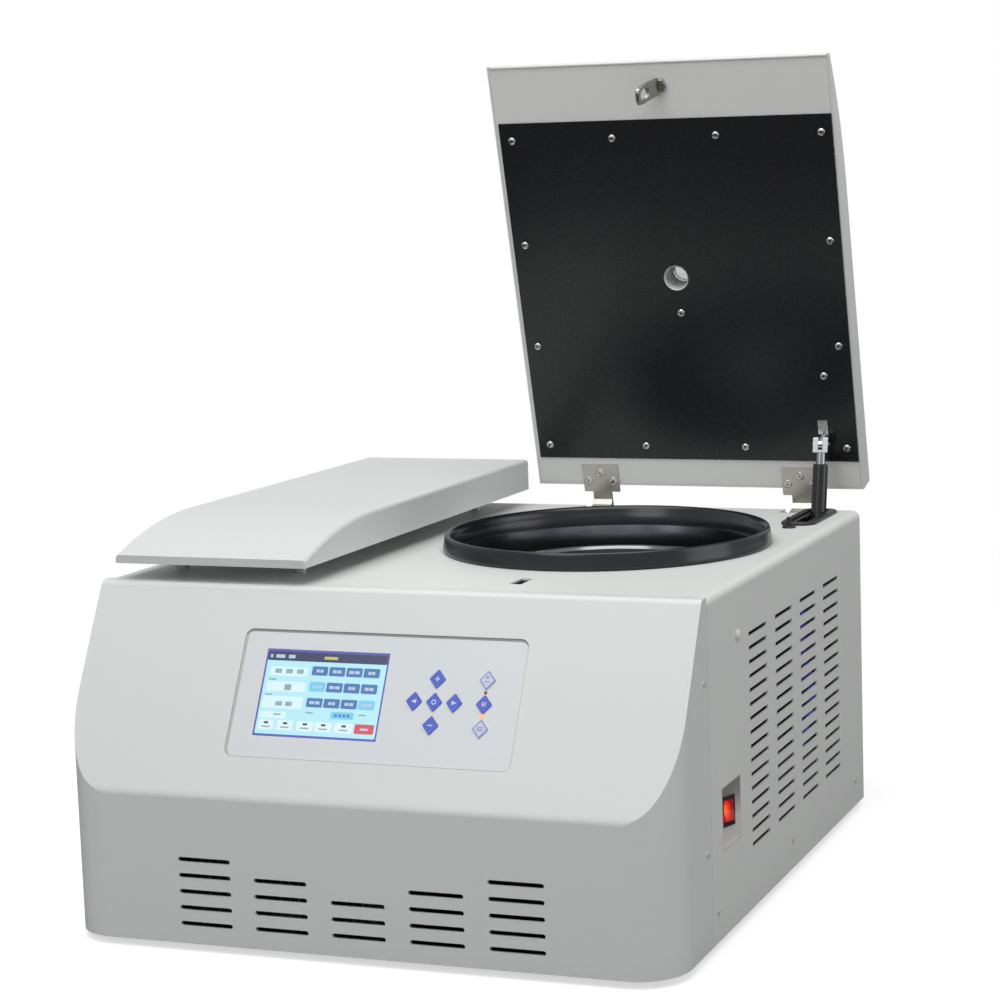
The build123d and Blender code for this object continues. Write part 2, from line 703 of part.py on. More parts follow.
def make_hinge_arms():
    """Leaf under the lid's rear edge, with a channel that bends down to a knuckle on the pin."""
    arms = []
    top = LID_UNDER
    start = LEAF_REAR - 6
    inside = [
        (start, top - LEAF_T), (ARM_INSIDE - 5, top - LEAF_T), (ARM_INSIDE, top - LEAF_T - 5),
        (ARM_INSIDE, PIN_Z + 12), (PIN_Y - 7, PIN_Z + 3),
    ]
    web_back = [
        (PIN_Y - 4, PIN_Z + 5), (ARM_INSIDE + LEAF_T, PIN_Z + 13), (ARM_INSIDE + LEAF_T, top - 6.5),
        (ARM_INSIDE - 3.5, top), (start, top),
    ]
    cheek_back = [(PIN_Y + ARM_T, PIN_Z), (PIN_Y + ARM_T, top - 6), (PIN_Y + ARM_T - 6, top), (start, top)]
    for hinge_x in HINGE_X:
        leaf = block(hinge_x - LEAF_W / 2, hinge_x + LEAF_W / 2, LEAF_FRONT, LEAF_REAR, top - LEAF_T, top)
        x0 = hinge_x - ARM_W / 2
        x1 = hinge_x + ARM_W / 2
        arm = leaf + yz_prism(inside + web_back, x0, x1)
        arm += yz_prism(inside + cheek_back, x0, x0 + ARM_CHEEK_T)
        arm += yz_prism(inside + cheek_back, x1 - ARM_CHEEK_T, x1)
        arm += bar_x(x0, x1, PIN_Y, PIN_Z, KNUCKLE_R)
        arm -= bar_x(x0 - 1, x1 + 1, PIN_Y, PIN_Z, PIN_R + PIN_GAP)
        arms.append(opened(arm))
    return arms


def make_hinge_brackets():
    """Cheeks under the rear edge of the deck that carry each pin."""
    brackets = []
    low = PIN_Z - CHEEK_BELOW
    for hinge_x in HINGE_X:
        inner = ARM_W / 2 + CHEEK_GAP
        outer = inner + CHEEK_T
        bracket = block(hinge_x - outer, hinge_x + outer, PIN_Y - 12, PAN_REAR, low - CHEEK_T, low)
        for side in (-1, 1):
            cheek = sorted((hinge_x + side * inner, hinge_x + side * outer))
            bracket += block(*cheek, PIN_Y - 12, PAN_REAR, low, UNDER_DECK)
            ear = sorted((hinge_x + side * inner, hinge_x + side * (outer + EAR_L)))
            bracket += block(*ear, PIN_Y - 24, PIN_Y - 9, UNDER_DECK - CHEEK_T, UNDER_DECK)
        bracket -= bar_x(hinge_x - outer - 1, hinge_x + outer + 1, PIN_Y, PIN_Z, PIN_R)
        brackets.append(bracket)
    return brackets


def make_hinge_pins():
    half = ARM_W / 2 + CHEEK_GAP + CHEEK_T
    return [bar_x(x - half - 1, x + half + 1, PIN_Y, PIN_Z, PIN_R) for x in HINGE_X]


def make_hinge_screws():
    """Three countersunk screws in a triangle on each leaf."""
    face = LID_UNDER - LEAF_T
    middle = (LEAF_FRONT + LEAF_REAR) / 2
    screws = []
    for hinge_x in HINGE_X:
        for dx, dy in ((-16, 3), (0, -7), (16, 3)):
            screw = post(hinge_x + dx, middle + dy, face - HINGE_SCREW_H, face, HINGE_SCREW_R)
            screws.append(opened(screw))
    return screws


# Latch


def make_striker():
    face = LID_UNDER
    tip = face - STRIKER_L
    y0 = STRIKER_Y - STRIKER_W / 2
    y1 = STRIKER_Y + STRIKER_W / 2
    hook = block(STRIKER_X - STRIKER_T / 2, STRIKER_X + STRIKER_T / 2, y0, y1, tip, face - 1)
    tip_edges = hook.edges().filter_by(Axis.X).group_by(Axis.Z)[0]
    hook = fillet(tip_edges, STRIKER_W / 2 - 3)
    hook -= bar_x(STRIKER_X - 10, STRIKER_X + 10, STRIKER_Y, face - STRIKER_EYE, STRIKER_EYE_R)
    foot = post(STRIKER_X, STRIKER_Y, face - STRIKER_FOOT_T, face, STRIKER_FOOT_R + 4)
    return opened(hook + foot)


def make_lid_lock():
    """Lock case and solenoid under the latch slot, bored for the bolt along X."""
    y0 = STRIKER_Y - LOCK_L / 2
    y1 = STRIKER_Y + LOCK_L / 2
    z = LID_UNDER - STRIKER_EYE
    x0 = STRIKER_X - LOCK_W / 2
    case = block(x0, x0 + LOCK_W, y0, y1, LOCK_BOTTOM, UNDER_DECK)
    case += bar_x(x0 - SOLENOID_L, x0, STRIKER_Y, UNDER_DECK - SOLENOID_R - 1, SOLENOID_R)
    half_w = LATCH_SLOT_W / 2 + 0.5
    half_l = LATCH_SLOT_L / 2 + 0.5
    case -= block(
        STRIKER_X - half_w, STRIKER_X + half_w, STRIKER_Y - half_l, STRIKER_Y + half_l, LOCK_BOTTOM + 6, DECK
    )
    case -= bar_x(x0 - SOLENOID_L - 1, STRIKER_X + half_w + 12, STRIKER_Y, z, BOLT_R + SHAFT_GAP)
    return case


def make_lock_bolt():
    tip = STRIKER_X - LATCH_SLOT_W / 2 - 1.5
    return bar_x(tip - BOLT_L, tip, STRIKER_Y, LID_UNDER - STRIKER_EYE, BOLT_R)


def make_release_plug():
    plug = bar_x(HALF_W - PLUG_L, HALF_W, PLUG_Y, PLUG_Z, PLUG_R)
    return plug + bar_x(HALF_W + 0.1, HALF_W + SCREW_HEAD, PLUG_Y, PLUG_Z, PLUG_HEAD_R) + bar_x(
        HALF_W - 1, HALF_W + 1, PLUG_Y, PLUG_Z, PLUG_R - 0.5
    )


# Gas spring, in the open pose: both ends lie in one plane across X


def strut_top():
    """The upper pivot with the lid open, as (y, z)."""
    a = math.radians(LID_OPEN)
    back = PIN_Y - STRUT_TOP_Y
    up = LID_UNDER - STRUT_TOP_DROP - PIN_Z
    return PIN_Y - back * math.cos(a) + up * math.sin(a), PIN_Z + back * math.sin(a) + up * math.cos(a)


def strut_frame():
    """Carries a piece drawn with the pivot at the origin and the strut down -Z onto the open strut."""
    y, z = strut_top()
    lean = math.degrees(math.atan2(STRUT_FOOT_Y - y, z - STRUT_FOOT_Z))
    return Pos(STRUT_X, y, z) * Rot(lean, 0, 0)


def strut_length():
    y, z = strut_top()
    return math.hypot(STRUT_FOOT_Y - y, z - STRUT_FOOT_Z)


def make_strut_bracket():
    """Foot plate on the liner with one lug for the clevis."""
    face = LID_UNDER - LINER_T
    pivot_z = LID_UNDER - STRUT_TOP_DROP
    foot = block(
        STRUT_X - BRACKET_W / 2, STRUT_X + BRACKET_W / 2, STRUT_TOP_Y - BRACKET_FOOT_L, STRUT_TOP_Y + 6,
        face - BRACKET_FOOT_T, face,
    )
    lug = block(STRUT_X - 2.5, STRUT_X + 2.5, STRUT_TOP_Y - 6, STRUT_TOP_Y + 6, pivot_z, face)
    lug += bar_x(STRUT_X - 2.5, STRUT_X + 2.5, STRUT_TOP_Y, pivot_z, 6)
    lug -= bar_x(STRUT_X - 9, STRUT_X + 9, STRUT_TOP_Y, pivot_z, CLEVIS_PIN_R + PIN_GAP)
    screw = post(STRUT_X, STRUT_TOP_Y - 14, face - BRACKET_FOOT_T - 1.5, face - BRACKET_FOOT_T, 3.2)
    return opened(foot + lug + screw)


def make_strut_cylinder():
    """Clevis with its pin, neck and tube, with a bore for the rod."""
    tube = Pos(0, 0, -(STRUT_NECK + STRUT_END) / 2) * Cylinder(STRUT_R, STRUT_END - STRUT_NECK)
    tube = chamfer(tube.edges().filter_by(GeomType.CIRCLE), 1.0)
    neck_top = CLEVIS_DOWN - 0.5
    neck_end = STRUT_NECK + 1
    neck = Pos(0, 0, -(neck_top + neck_end) / 2) * Cylinder(STRUT_NECK_R, neck_end - neck_top)
    fork = Pos(0, 0, (CLEVIS_UP - CLEVIS_DOWN) / 2) * Box(CLEVIS_W, CLEVIS_D, CLEVIS_UP + CLEVIS_DOWN)
    fork = fillet(fork.edges().filter_by(Axis.X).group_by(Axis.Z)[-1], 3)
    slot = Pos(0, 0, 10 - CLEVIS_ROOT) * Box(CLEVIS_SLOT, 30, 20)
    pin = Rot(0, 90, 0) * Cylinder(CLEVIS_PIN_R, CLEVIS_W + 2)
    bore_r = ROD_R + STRUT_BORE_GAP
    bore = Pos(0, 0, -(ROD_TOP + STRUT_END + 1) / 2) * Cylinder(bore_r, STRUT_END - ROD_TOP + 1)
    return strut_frame() * (tube + neck + (fork - slot) + pin - bore)


def make_strut_rod():
    """Rod with the socket eye at its lower end."""
    length = strut_length()
    rod_top = length - (STRUT_END - ROD_TOP) + 6
    rod_top = min(rod_top, STRUT_END - 18)
    rod_end = length - EYE_R + 1
    rod = Pos(0, 0, -(rod_top + rod_end) / 2) * Cylinder(ROD_R, rod_end - rod_top)
    eye = Pos(0, 0, -length) * Rot(0, 90, 0) * Cylinder(EYE_R, EYE_T)
    eye -= Pos(EYE_T / 2, 0, -length) * Rot(0, 90, 0) * Cylinder(BALL_R, EYE_T)
    return strut_frame() * (rod + eye)


def make_strut_anchor():
    """Bracket on the side wall with the ball stud that carries the rod's eye."""
    x0 = STRUT_X + EYE_T / 2 + ANCHOR_GAP
    plate_x = x0 + 8
    wall = HALF_W - SHEET
    stud = bar_x(x0, plate_x + 1, STRUT_FOOT_Y, STRUT_FOOT_Z, BALL_R - 1)
    y0, y1 = STRUT_FOOT_Y - 14, STRUT_FOOT_Y + 14
    plate = block(plate_x, plate_x + 3, y0, y1, STRUT_FOOT_Z - 14, STRUT_FOOT_Z + 14)
    foot = block(plate_x, wall, y0, y1, STRUT_FOOT_Z - 14, STRUT_FOOT_Z - 11)
    tab = block(wall - 3, wall, y0, y1, STRUT_FOOT_Z - 40, STRUT_FOOT_Z - 11)
    return stud + plate + foot + tab


def make_boot_plate():
    """Black trim round the slot that the gas spring swings in."""
    length = BOOT_Y1 - BOOT_Y0
    middle = (BOOT_Y0 + BOOT_Y1) / 2
    plate = Pos(BOOT_X, middle, DECK) * extrude(RectangleRounded(BOOT_W, length, BOOT_R), BOOT_H)
    plate = chamfer(plate.faces().sort_by(Axis.Z)[-1].edges(), 1.2)
    x0 = BOOT_X - BOOT_SLOT_W / 2 + 1
    x1 = BOOT_X + BOOT_SLOT_W / 2 - 1
    return plate - block(x0, x1, BOOT_SLOT_Y0 + 1, BOOT_SLOT_Y1 - 1, DECK - 1, DECK + BOOT_H + 1)


def make_lid_stop():
    outline = [(0, DECK), (8, DECK), (7, DECK + 3), (3, DECK + 3.6), (2.6, DECK + 12), (0, DECK + 12.5)]
    return turned(outline, STOP_X, STOP_Y)


# Chamber and drive


def make_chamber_seal():
    """Rubber collar: a flared skirt on the deck, a rim for the lid and a sleeve down into the bowl."""
    sleeve = BOWL_R - SLIDE_GAP
    outline = [
        (sleeve - 3, SEAL_BOTTOM), (sleeve, SEAL_BOTTOM), (sleeve, UNDER_DECK),
        (DECK_HOLE_R - SLIDE_GAP, UNDER_DECK), (DECK_HOLE_R - SLIDE_GAP, DECK), (SEAL_SKIRT_R - 2, DECK),
        (SEAL_SKIRT_R, DECK + 2.4), (SEAL_SKIRT_R - 0.2, DECK + 7), (SEAL_RIM_R + 0.2, DECK + 9.6),
        (SEAL_RIM_R, SEAL_TOP - 3), (SEAL_RIM_R - 1, SEAL_TOP - 0.8), (SEAL_RIM_R - 2.4, SEAL_TOP),
        (SEAL_MOUTH_R + 1, SEAL_TOP), (SEAL_MOUTH_R, SEAL_TOP - 1.2), (SEAL_MOUTH_R - 0.6, SEAL_TOP - 5),
        (SEAL_MOUTH_R - SEAL_STEP, SEAL_TOP - 6.5), (SEAL_MOUTH_R - SEAL_STEP - 0.6, SEAL_TOP - 12),
        (SEAL_MOUTH_R - 2 * SEAL_STEP, SEAL_TOP - 14), (SEAL_MOUTH_R - 2 * SEAL_STEP - 1.5, DECK - 4),
        (sleeve - 3, DECK - 10),
    ]
    return turned(outline, CH_X, CH_Y)


def bowl_outline(inset):
    """Inside or outside of the bowl's wall and floor as a closed (radius, z) outline."""
    r = BOWL_R + inset
    z = BOWL_FLOOR - inset
    corner = BOWL_CORNER_R + inset
    steps = 4
    points = [(0, UNDER_DECK), (r, UNDER_DECK)]
    for k in range(steps + 1):
        a = math.pi / 2 * k / steps
        points.append((r - corner + corner * math.cos(a), z + corner - corner * math.sin(a)))
    return points + [(0, z)]


def make_chamber_bowl():
    outer = turned(bowl_outline(BOWL_WALL), CH_X, CH_Y)
    outer += post(CH_X, CH_Y, UNDER_DECK - BOWL_WALL, UNDER_DECK, BOWL_FLANGE_R)
    outer += post(CH_X, CH_Y, BOWL_FLOOR - BOWL_WALL, BOWL_FLOOR + BOWL_NECK_H, BOWL_NECK_R + BOWL_WALL)
    inner = turned(bowl_outline(0), CH_X, CH_Y)
    inner -= post(CH_X, CH_Y, BOWL_FLOOR - 5, BOWL_FLOOR + BOWL_NECK_H, BOWL_NECK_R + BOWL_WALL)
    hole = post(CH_X, CH_Y, BOWL_FLOOR - 10, BOWL_FLOOR + 20, BOWL_NECK_R)
    return outer - inner - hole


def make_foam_jacket():
    top = UNDER_DECK - BOWL_WALL
    bottom = BOWL_FLOOR - BOWL_WALL - FOAM_FLOOR
    foam = block(CH_X - FOAM_HALF, CH_X + FOAM_HALF, CH_Y - FOAM_HALF, CH_Y + FOAM_HALF, bottom, top)
    foam = fillet(foam.edges().filter_by(Axis.Z), 30)
    foam -= post(CH_X, CH_Y, BOWL_FLOOR - BOWL_WALL, top + 1, COIL_R + COIL_TUBE_R + 0.5)
    bay_x = STRUT_X - BOOT_SLOT_W / 2 - 2
    foam -= block(bay_x, CH_X + FOAM_HALF + 1, BOOT_SLOT_Y0 - 6, REAR, bottom - 1, top + 1)
    return foam - post(CH_X, CH_Y, bottom - 1, BOWL_FLOOR, BOWL_NECK_R + 6)


def make_evaporator_coil():
    """Cooling tube wound round the bowl."""
    height = COIL_TURNS * COIL_PITCH
    path = Helix(pitch=COIL_PITCH, height=height, radius=COIL_R)
    section = Plane(origin=path @ 0, z_dir=path % 0) * Circle(COIL_TUBE_R)
    return Pos(CH_X, CH_Y, COIL_BOTTOM) * sweep(section, path=path)


def make_drive_motor():
    """Ribbed stator case with a neck that reaches into the bowl's floor."""
    fin = (MOTOR_TOP - MOTOR_BOTTOM - 40) / MOTOR_FINS
    points = [(SHAFT_R + SHAFT_GAP, MOTOR_BOTTOM), (MOTOR_R - 8, MOTOR_BOTTOM), (MOTOR_R, MOTOR_BOTTOM + 10)]
    for k in range(MOTOR_FINS):
        z = MOTOR_BOTTOM + 20 + k * fin
        points += [(MOTOR_R, z), (MOTOR_R - MOTOR_FIN_DEPTH, z + 2), (MOTOR_R - MOTOR_FIN_DEPTH, z + fin - 4)]
        points += [(MOTOR_R, z + fin - 2)]
    top = BOWL_FLOOR + BOWL_NECK_H - 4
    points += [
        (MOTOR_R, MOTOR_TOP - 12), (MOTOR_R - 14, MOTOR_TOP), (MOTOR_NECK_R, MOTOR_TOP),
        (MOTOR_NECK_R, top), (SHAFT_R + SHAFT_GAP, top),
    ]
    return turned(points, CH_X, CH_Y)


def mount_places():
    for k in range(MOUNT_COUNT):
        a = 2 * math.pi * k / MOUNT_COUNT + math.pi / 2
        yield CH_X + MOUNT_CIRCLE_R * math.cos(a), CH_Y + MOUNT_CIRCLE_R * math.sin(a)


def make_motor_plate():
    return post(CH_X, CH_Y, MOTOR_BOTTOM - MOTOR_PLATE_T, MOTOR_BOTTOM, MOTOR_PLATE_R)


def make_motor_mounts():
    top = MOTOR_BOTTOM - MOTOR_PLATE_T
    waist = (PAN_TOP + top) / 2
    outline = [(0, PAN_TOP), (MOUNT_R, PAN_TOP), (MOUNT_R - 3, waist), (MOUNT_R, top), (0, top)]
    return [turned(outline, x, y) for x, y in mount_places()]


def make_drive_shaft():
    bottom = MOTOR_BOTTOM + 20
    shoulder = ROTOR_BOTTOM
    top = ROTOR_TOP - ROTOR_HUB_DROP + 8
    outline = [
        (0, bottom), (SHAFT_R, bottom), (SHAFT_R, shoulder - 10), (SHAFT_R + 6, shoulder - 4),
        (SHAFT_R + 6, shoulder), (SHAFT_R, shoulder), (SHAFT_END_R, top - 14), (SHAFT_END_R, top), (0, top),
    ]
    return turned(outline, CH_X, CH_Y)


def crater_slope():
    """Tilt of the tube bores from the vertical, which is square to the rotor's dished top."""
    return math.atan2(ROTOR_HUB_DROP - 3, ROTOR_R - ROTOR_RIM - ROTOR_HUB_R)


def tube_bore():
    """One angled bore, with its mouth on the dish, drawn on the rotor's axis along +X."""
    tilt = crater_slope()
    mouth_z = ROTOR_TOP - 3 - (ROTOR_R - ROTOR_RIM - TUBE_CIRCLE_R) * math.tan(tilt)
    straight = TUBE_DEPTH - TUBE_R
    barrel = Pos(0, 0, -straight / 2 + 20) * Cylinder(TUBE_R, straight + 40)
    barrel += Pos(0, 0, -straight) * Sphere(TUBE_R)
    return Pos(TUBE_CIRCLE_R, 0, mouth_z) * Rot(0, -math.degrees(tilt), 0) * barrel


def make_rotor():
    """Fixed-angle rotor: a ring of angled tube bores in the wall of a dished disc."""
    hub_z = ROTOR_TOP - ROTOR_HUB_DROP
    outline = [
        (0, ROTOR_BOTTOM), (ROTOR_FOOT_R, ROTOR_BOTTOM), (ROTOR_R - 12, ROTOR_BOTTOM + 12),
        (ROTOR_R, ROTOR_BOTTOM + 26), (ROTOR_R, ROTOR_TOP - 2), (ROTOR_R - 2, ROTOR_TOP),
        (ROTOR_R - ROTOR_RIM + 2, ROTOR_TOP), (ROTOR_R - ROTOR_RIM, ROTOR_TOP - 3),
        (ROTOR_HUB_R, hub_z), (ROTOR_HUB_R - 4, hub_z), (0, hub_z),
    ]
    body = turned(outline, CH_X, CH_Y)
    shaft_top = hub_z + 8
    cone = [
        (0, ROTOR_BOTTOM - 1), (SHAFT_R, ROTOR_BOTTOM - 1), (SHAFT_R, ROTOR_BOTTOM),
        (SHAFT_END_R, shaft_top - 14), (SHAFT_END_R, shaft_top), (0, shaft_top),
    ]
    body -= turned(cone, CH_X, CH_Y)
    for k in range(TUBES):
        body -= Pos(CH_X, CH_Y, 0) * Rot(0, 0, 360 / TUBES * k + 30) * tube_bore()
    return body


def make_rotor_nut():
    """Tie-down nut with a knurled grip, screwed on the shaft's end."""
    z = ROTOR_TOP - ROTOR_HUB_DROP + SLIDE_GAP
    shaft_top = z + 9
    bore = SHAFT_END_R + SHAFT_GAP
    outline = [
        (0, shaft_top), (bore, shaft_top), (bore, z), (NUT_BASE_R, z), (NUT_BASE_R, z + 6),
        (NUT_R, z + 9), (NUT_R, z + 26), (NUT_R - 3, z + 30), (0, z + 30),
    ]
    nut = turned(outline, CH_X, CH_Y)
    for k in range(8):
        groove = Rot(0, 0, 45 * k) * Pos(NUT_R + 1.2, 0, z + 20) * Cylinder(2.6, 22)
        nut -= Pos(CH_X, CH_Y, 0) * groove
    return nut


# Controls


def make_control_panel():
    floor = -RECESS_DEPTH
    width, height = PANEL_W - 2 * RECESS_GAP, PANEL_H - 2 * RECESS_GAP
    plate = extrude(RectangleRounded(width, height, PANEL_CORNER_R), PANEL_T)
    panel = on_slope(PANEL_X, PANEL_DOWN, floor) * plate
    panel -= on_slope(SCREEN_X, SCREEN_DOWN, floor) * Box(SCREEN_W, SCREEN_H, 20)
    window = extrude(diamond(KEY_HALF_W + KEY_GAP, KEY_HALF_H + KEY_GAP, KEY_CORNER_R), 10, both=True)
    for _, x, down in key_centres():
        panel -= on_slope(x, down, floor) * window
    for down in LED_DOWN:
        panel -= on_slope(COLUMN_X, down, floor) * Cylinder(LED_R + 0.1, 20)
    return panel


def make_screen():
    """Display module: its face lies just under the panel's face."""
    face = PANEL_T - RECESS_DEPTH - 0.3
    glass_t = face + RECESS_DEPTH
    glass = on_slope(SCREEN_X, SCREEN_DOWN, face - glass_t / 2) * Box(SCREEN_W - 0.6, SCREEN_H - 0.6, glass_t)
    back = SCREEN_T - glass_t
    module = on_slope(SCREEN_X, SCREEN_DOWN, face - glass_t - back / 2) * Box(SCREEN_W - 7, SCREEN_H - 7, back)
    return glass + module


def make_key(x, down):
    """Diamond cap with a stem that reaches to its switch on the board."""
    face = PANEL_T - RECESS_DEPTH + KEY_PROUD
    cap = extrude(diamond(KEY_HALF_W, KEY_HALF_H, KEY_CORNER_R), -4.2)
    stem_end = -BOARD_DEPTH + BOARD_T / 2 + 1.6 + KEY_TRAVEL
    stem_l = face - 4.2 - stem_end
    stem = on_slope(x, down, stem_end + stem_l / 2) * Cylinder(KEY_STEM_R, stem_l)
    return on_slope(x, down, face) * cap + stem


def make_status_leds():
    top = PANEL_T - RECESS_DEPTH + 0.4
    bottom = -BOARD_DEPTH + BOARD_T / 2
    leds = []
    for down in LED_DOWN:
        body = on_slope(COLUMN_X, down, (top + bottom) / 2) * Cylinder(LED_R - 0.1, top - bottom)
        leds.append(body)
    return leds


def make_control_board():
    """Circuit board on the bosses, with one switch under each key."""
    board = on_slope(PANEL_X, PANEL_DOWN, -BOARD_DEPTH - BOARD_T / 2) * Box(BOARD_W, BOARD_H, BOARD_T)
    for x in (-PANEL_W / 2 + 8, PANEL_W / 2 - 8):
        for down in (-PANEL_H / 2 + 8, PANEL_H / 2 - 8):
            tab = on_slope(PANEL_X + x, PANEL_DOWN + down, -BOARD_DEPTH - BOARD_T / 2) * Box(14, 14, BOARD_T)
            board += tab
    for _, x, down in key_centres():
        switch_h = 1.6 + BOARD_T / 2
        board += on_slope(x, down, -BOARD_DEPTH + switch_h / 2) * Box(6, 6, switch_h)
    for down in LED_DOWN:
        board += on_slope(COLUMN_X, down, -BOARD_DEPTH + BOARD_T / 4) * Box(5, 5, BOARD_T / 2)
    return board


# Power switch pocket: a wedge scooped into the side, deepest at its front


def pocket_corner():
    """The deep front corner of the pocket, in plan."""
    return Vector(HALF_W - POCKET_DEPTH, POCKET_Y + POCKET_NEAR, 0)


def ramp_run():
    """Direction of the ramp, from the deep corner out to the pocket's rear edge."""
    end = Vector(HALF_W, POCKET_Y + POCKET_L - POCKET_WALL, 0)
    return (end - pocket_corner()).normalized()


def ramp_frame(along, height=0.0):
    """A place on the ramp: along it from the deep corner, and out along its normal."""
    run = ramp_run()
    normal = Vector(run.Y, -run.X, 0)
    middle = Vector(0, 0, POCKET_Z + POCKET_H / 2)
    origin = pocket_corner() + middle + run * along + normal * height
    return Plane(origin=origin, x_dir=run, z_dir=normal)


def make_switch_pocket():
    """Wedge-shaped tray with a flange behind the side sheet and a window for the switch."""
    corner = pocket_corner()
    run = ramp_run()
    back = Vector(-run.Y, run.X, 0) * POCKET_WALL
    edge = HALF_W
    y0 = POCKET_Y + SLIDE_GAP
    y1 = POCKET_Y + POCKET_L - SLIDE_GAP
    far = Vector(HALF_W, POCKET_Y + POCKET_L - POCKET_WALL, 0)
    deep = (corner.X - POCKET_WALL, corner.Y - POCKET_WALL)
    skin_in = corner + back
    skin_out = far + back
    mouth = far + run * 4
    outer = [(edge, y0), deep, (skin_in.X, skin_in.Y), (skin_out.X, skin_out.Y), (edge, y1)]
    inner = [(edge + 1, POCKET_Y + POCKET_WALL), (corner.X, corner.Y), (mouth.X, mouth.Y)]
    floor = POCKET_Z + SLIDE_GAP
    height = POCKET_H - 2 * SLIDE_GAP
    body = Pos(0, 0, floor) * extrude(make_face(Polyline(*outer, close=True)), height, dir=(0, 0, 1))
    flange = HALF_W - SHEET
    body += block(
        flange - POCKET_WALL, flange, POCKET_Y - POCKET_FLANGE_W, POCKET_Y + POCKET_L + POCKET_FLANGE_W,
        POCKET_Z - POCKET_FLANGE_W, POCKET_Z + POCKET_H + POCKET_FLANGE_W,
    )
    scoop = make_face(Polyline(*inner, close=True))
    hollow = Pos(0, 0, floor + POCKET_WALL) * extrude(scoop, height - 2 * POCKET_WALL, dir=(0, 0, 1))
    cut = ramp_frame(SWITCH_ALONG) * Box(SWITCH_W - 2 * SWITCH_RIM + 1, SWITCH_H - 2 * SWITCH_RIM + 1, 20)
    return body - hollow - cut


def make_switch_frame():
    """Black bezel and body that snap into the ramp."""
    at = ramp_frame(SWITCH_ALONG)
    rim = at * Pos(0, 0, SWITCH_PROUD / 2) * Box(SWITCH_W, SWITCH_H, SWITCH_PROUD)
    inside_w = SWITCH_W - 2 * SWITCH_RIM
    inside_h = SWITCH_H - 2 * SWITCH_RIM
    body = at * Pos(0, 0, -SWITCH_BODY / 2) * Box(inside_w, inside_h, SWITCH_BODY)
    hollow = at * Pos(0, 0, SWITCH_PROUD / 2 - 4) * Box(inside_w - 2, inside_h - 2, SWITCH_PROUD + 12)
    return rim + body - hollow


def make_power_rocker():
    """Lit rocker, pressed at its top, with ends that are round about its pivot."""
    at = ramp_frame(SWITCH_ALONG, ROCKER_AXIS)
    half_h = SWITCH_H / 2 - SWITCH_RIM - 1
    width = SWITCH_W - 2 * SWITCH_RIM - 2 - 2 * ROCKER_GAP
    outline = [(-half_h, 1.5), (-half_h, 6.1), (0, 4.7), (half_h, 6.1), (half_h, 1.5), (0, -1.5)]
    face = make_face(Polyline(*outline, close=True))
    rocker = extrude(face, width / 2, both=True) & Cylinder(half_h - ROCKER_GAP, width + 2)
    return at * Rot(0, 0, 90) * Rot(90, 0, 0) * Rot(0, 0, -ROCKER_TILT) * rocker


# Rear inlet, refrigeration and power parts


def make_power_inlet():
    """Three-blade mains inlet set in the rear panel."""
    y = PAN_REAR + SHEET
    flange = Pos(INLET_X, y + 1.2, INLET_Z) * Box(INLET_W, 2.4, INLET_H)
    body = Pos(INLET_X, y - INLET_D / 2, INLET_Z) * Box(INLET_W - 7, INLET_D, INLET_H - 7)
    cavity = Pos(INLET_X, y - 7, INLET_Z) * Box(INLET_W - 18, 22, INLET_H - 14)
    inlet = flange + body - cavity
    back = y - 18
    for dx, dz in ((-9, -2.5), (0, 3), (9, -2.5)):
        inlet += Pos(INLET_X + dx, back + 5, INLET_Z + dz) * Box(2, 11, 5)
    return inlet


def make_compressor():
    """Welded steel shell on a foot plate."""
    z0 = PAN_TOP
    r = COMPRESSOR_R
    top = z0 + COMPRESSOR_H
    outline = [
        (0, z0 + 12), (r - 14, z0 + 12), (r, z0 + 30), (r, z0 + 95), (r + 3, z0 + 97), (r + 3, z0 + 101),
        (r, z0 + 103), (r, top - 30), (r - 10, top - 12), (r - 34, top), (0, top),
    ]
    shell = turned(outline, COMPRESSOR_X, COMPRESSOR_Y)
    foot = block(COMPRESSOR_X - r, COMPRESSOR_X + r, COMPRESSOR_Y - r, COMPRESSOR_Y + r, z0, z0 + 3)
    legs = post(COMPRESSOR_X, COMPRESSOR_Y, z0 + 3, z0 + 14, r - 20)
    stub = post(COMPRESSOR_X + r - 30, COMPRESSOR_Y, top - 12, top + 18, 5)
    return shell + foot + legs + stub


def make_condenser():
    """Fin block between two end plates, with its tube runs."""
    x0 = CONDENSER_X - CONDENSER_W / 2
    x1 = CONDENSER_X + CONDENSER_W / 2
    y0 = CONDENSER_Y
    y1 = CONDENSER_Y + CONDENSER_D
    z0 = PAN_TOP
    z1 = z0 + CONDENSER_H
    block_of_fins = block(x0, x1, y0, y1, z0, z0 + 2) + block(x0, x1, y0, y1, z1 - 2, z1)
    fins = int(CONDENSER_W / FIN_PITCH)
    for k in range(fins + 1):
        x = x0 + (CONDENSER_W - FIN_T) * k / fins
        block_of_fins += block(x, x + FIN_T, y0, y1, z0, z1)
    for row in range(4):
        z = z0 + 20 + row * (CONDENSER_H - 40) / 3
        block_of_fins += bar_x(x0 - 6, x1 + 6, (y0 + y1) / 2, z, 5)
    return block_of_fins


def fan_centre():
    y0 = CONDENSER_Y + CONDENSER_D
    return FAN_X, y0, PAN_TOP + CONDENSER_H / 2


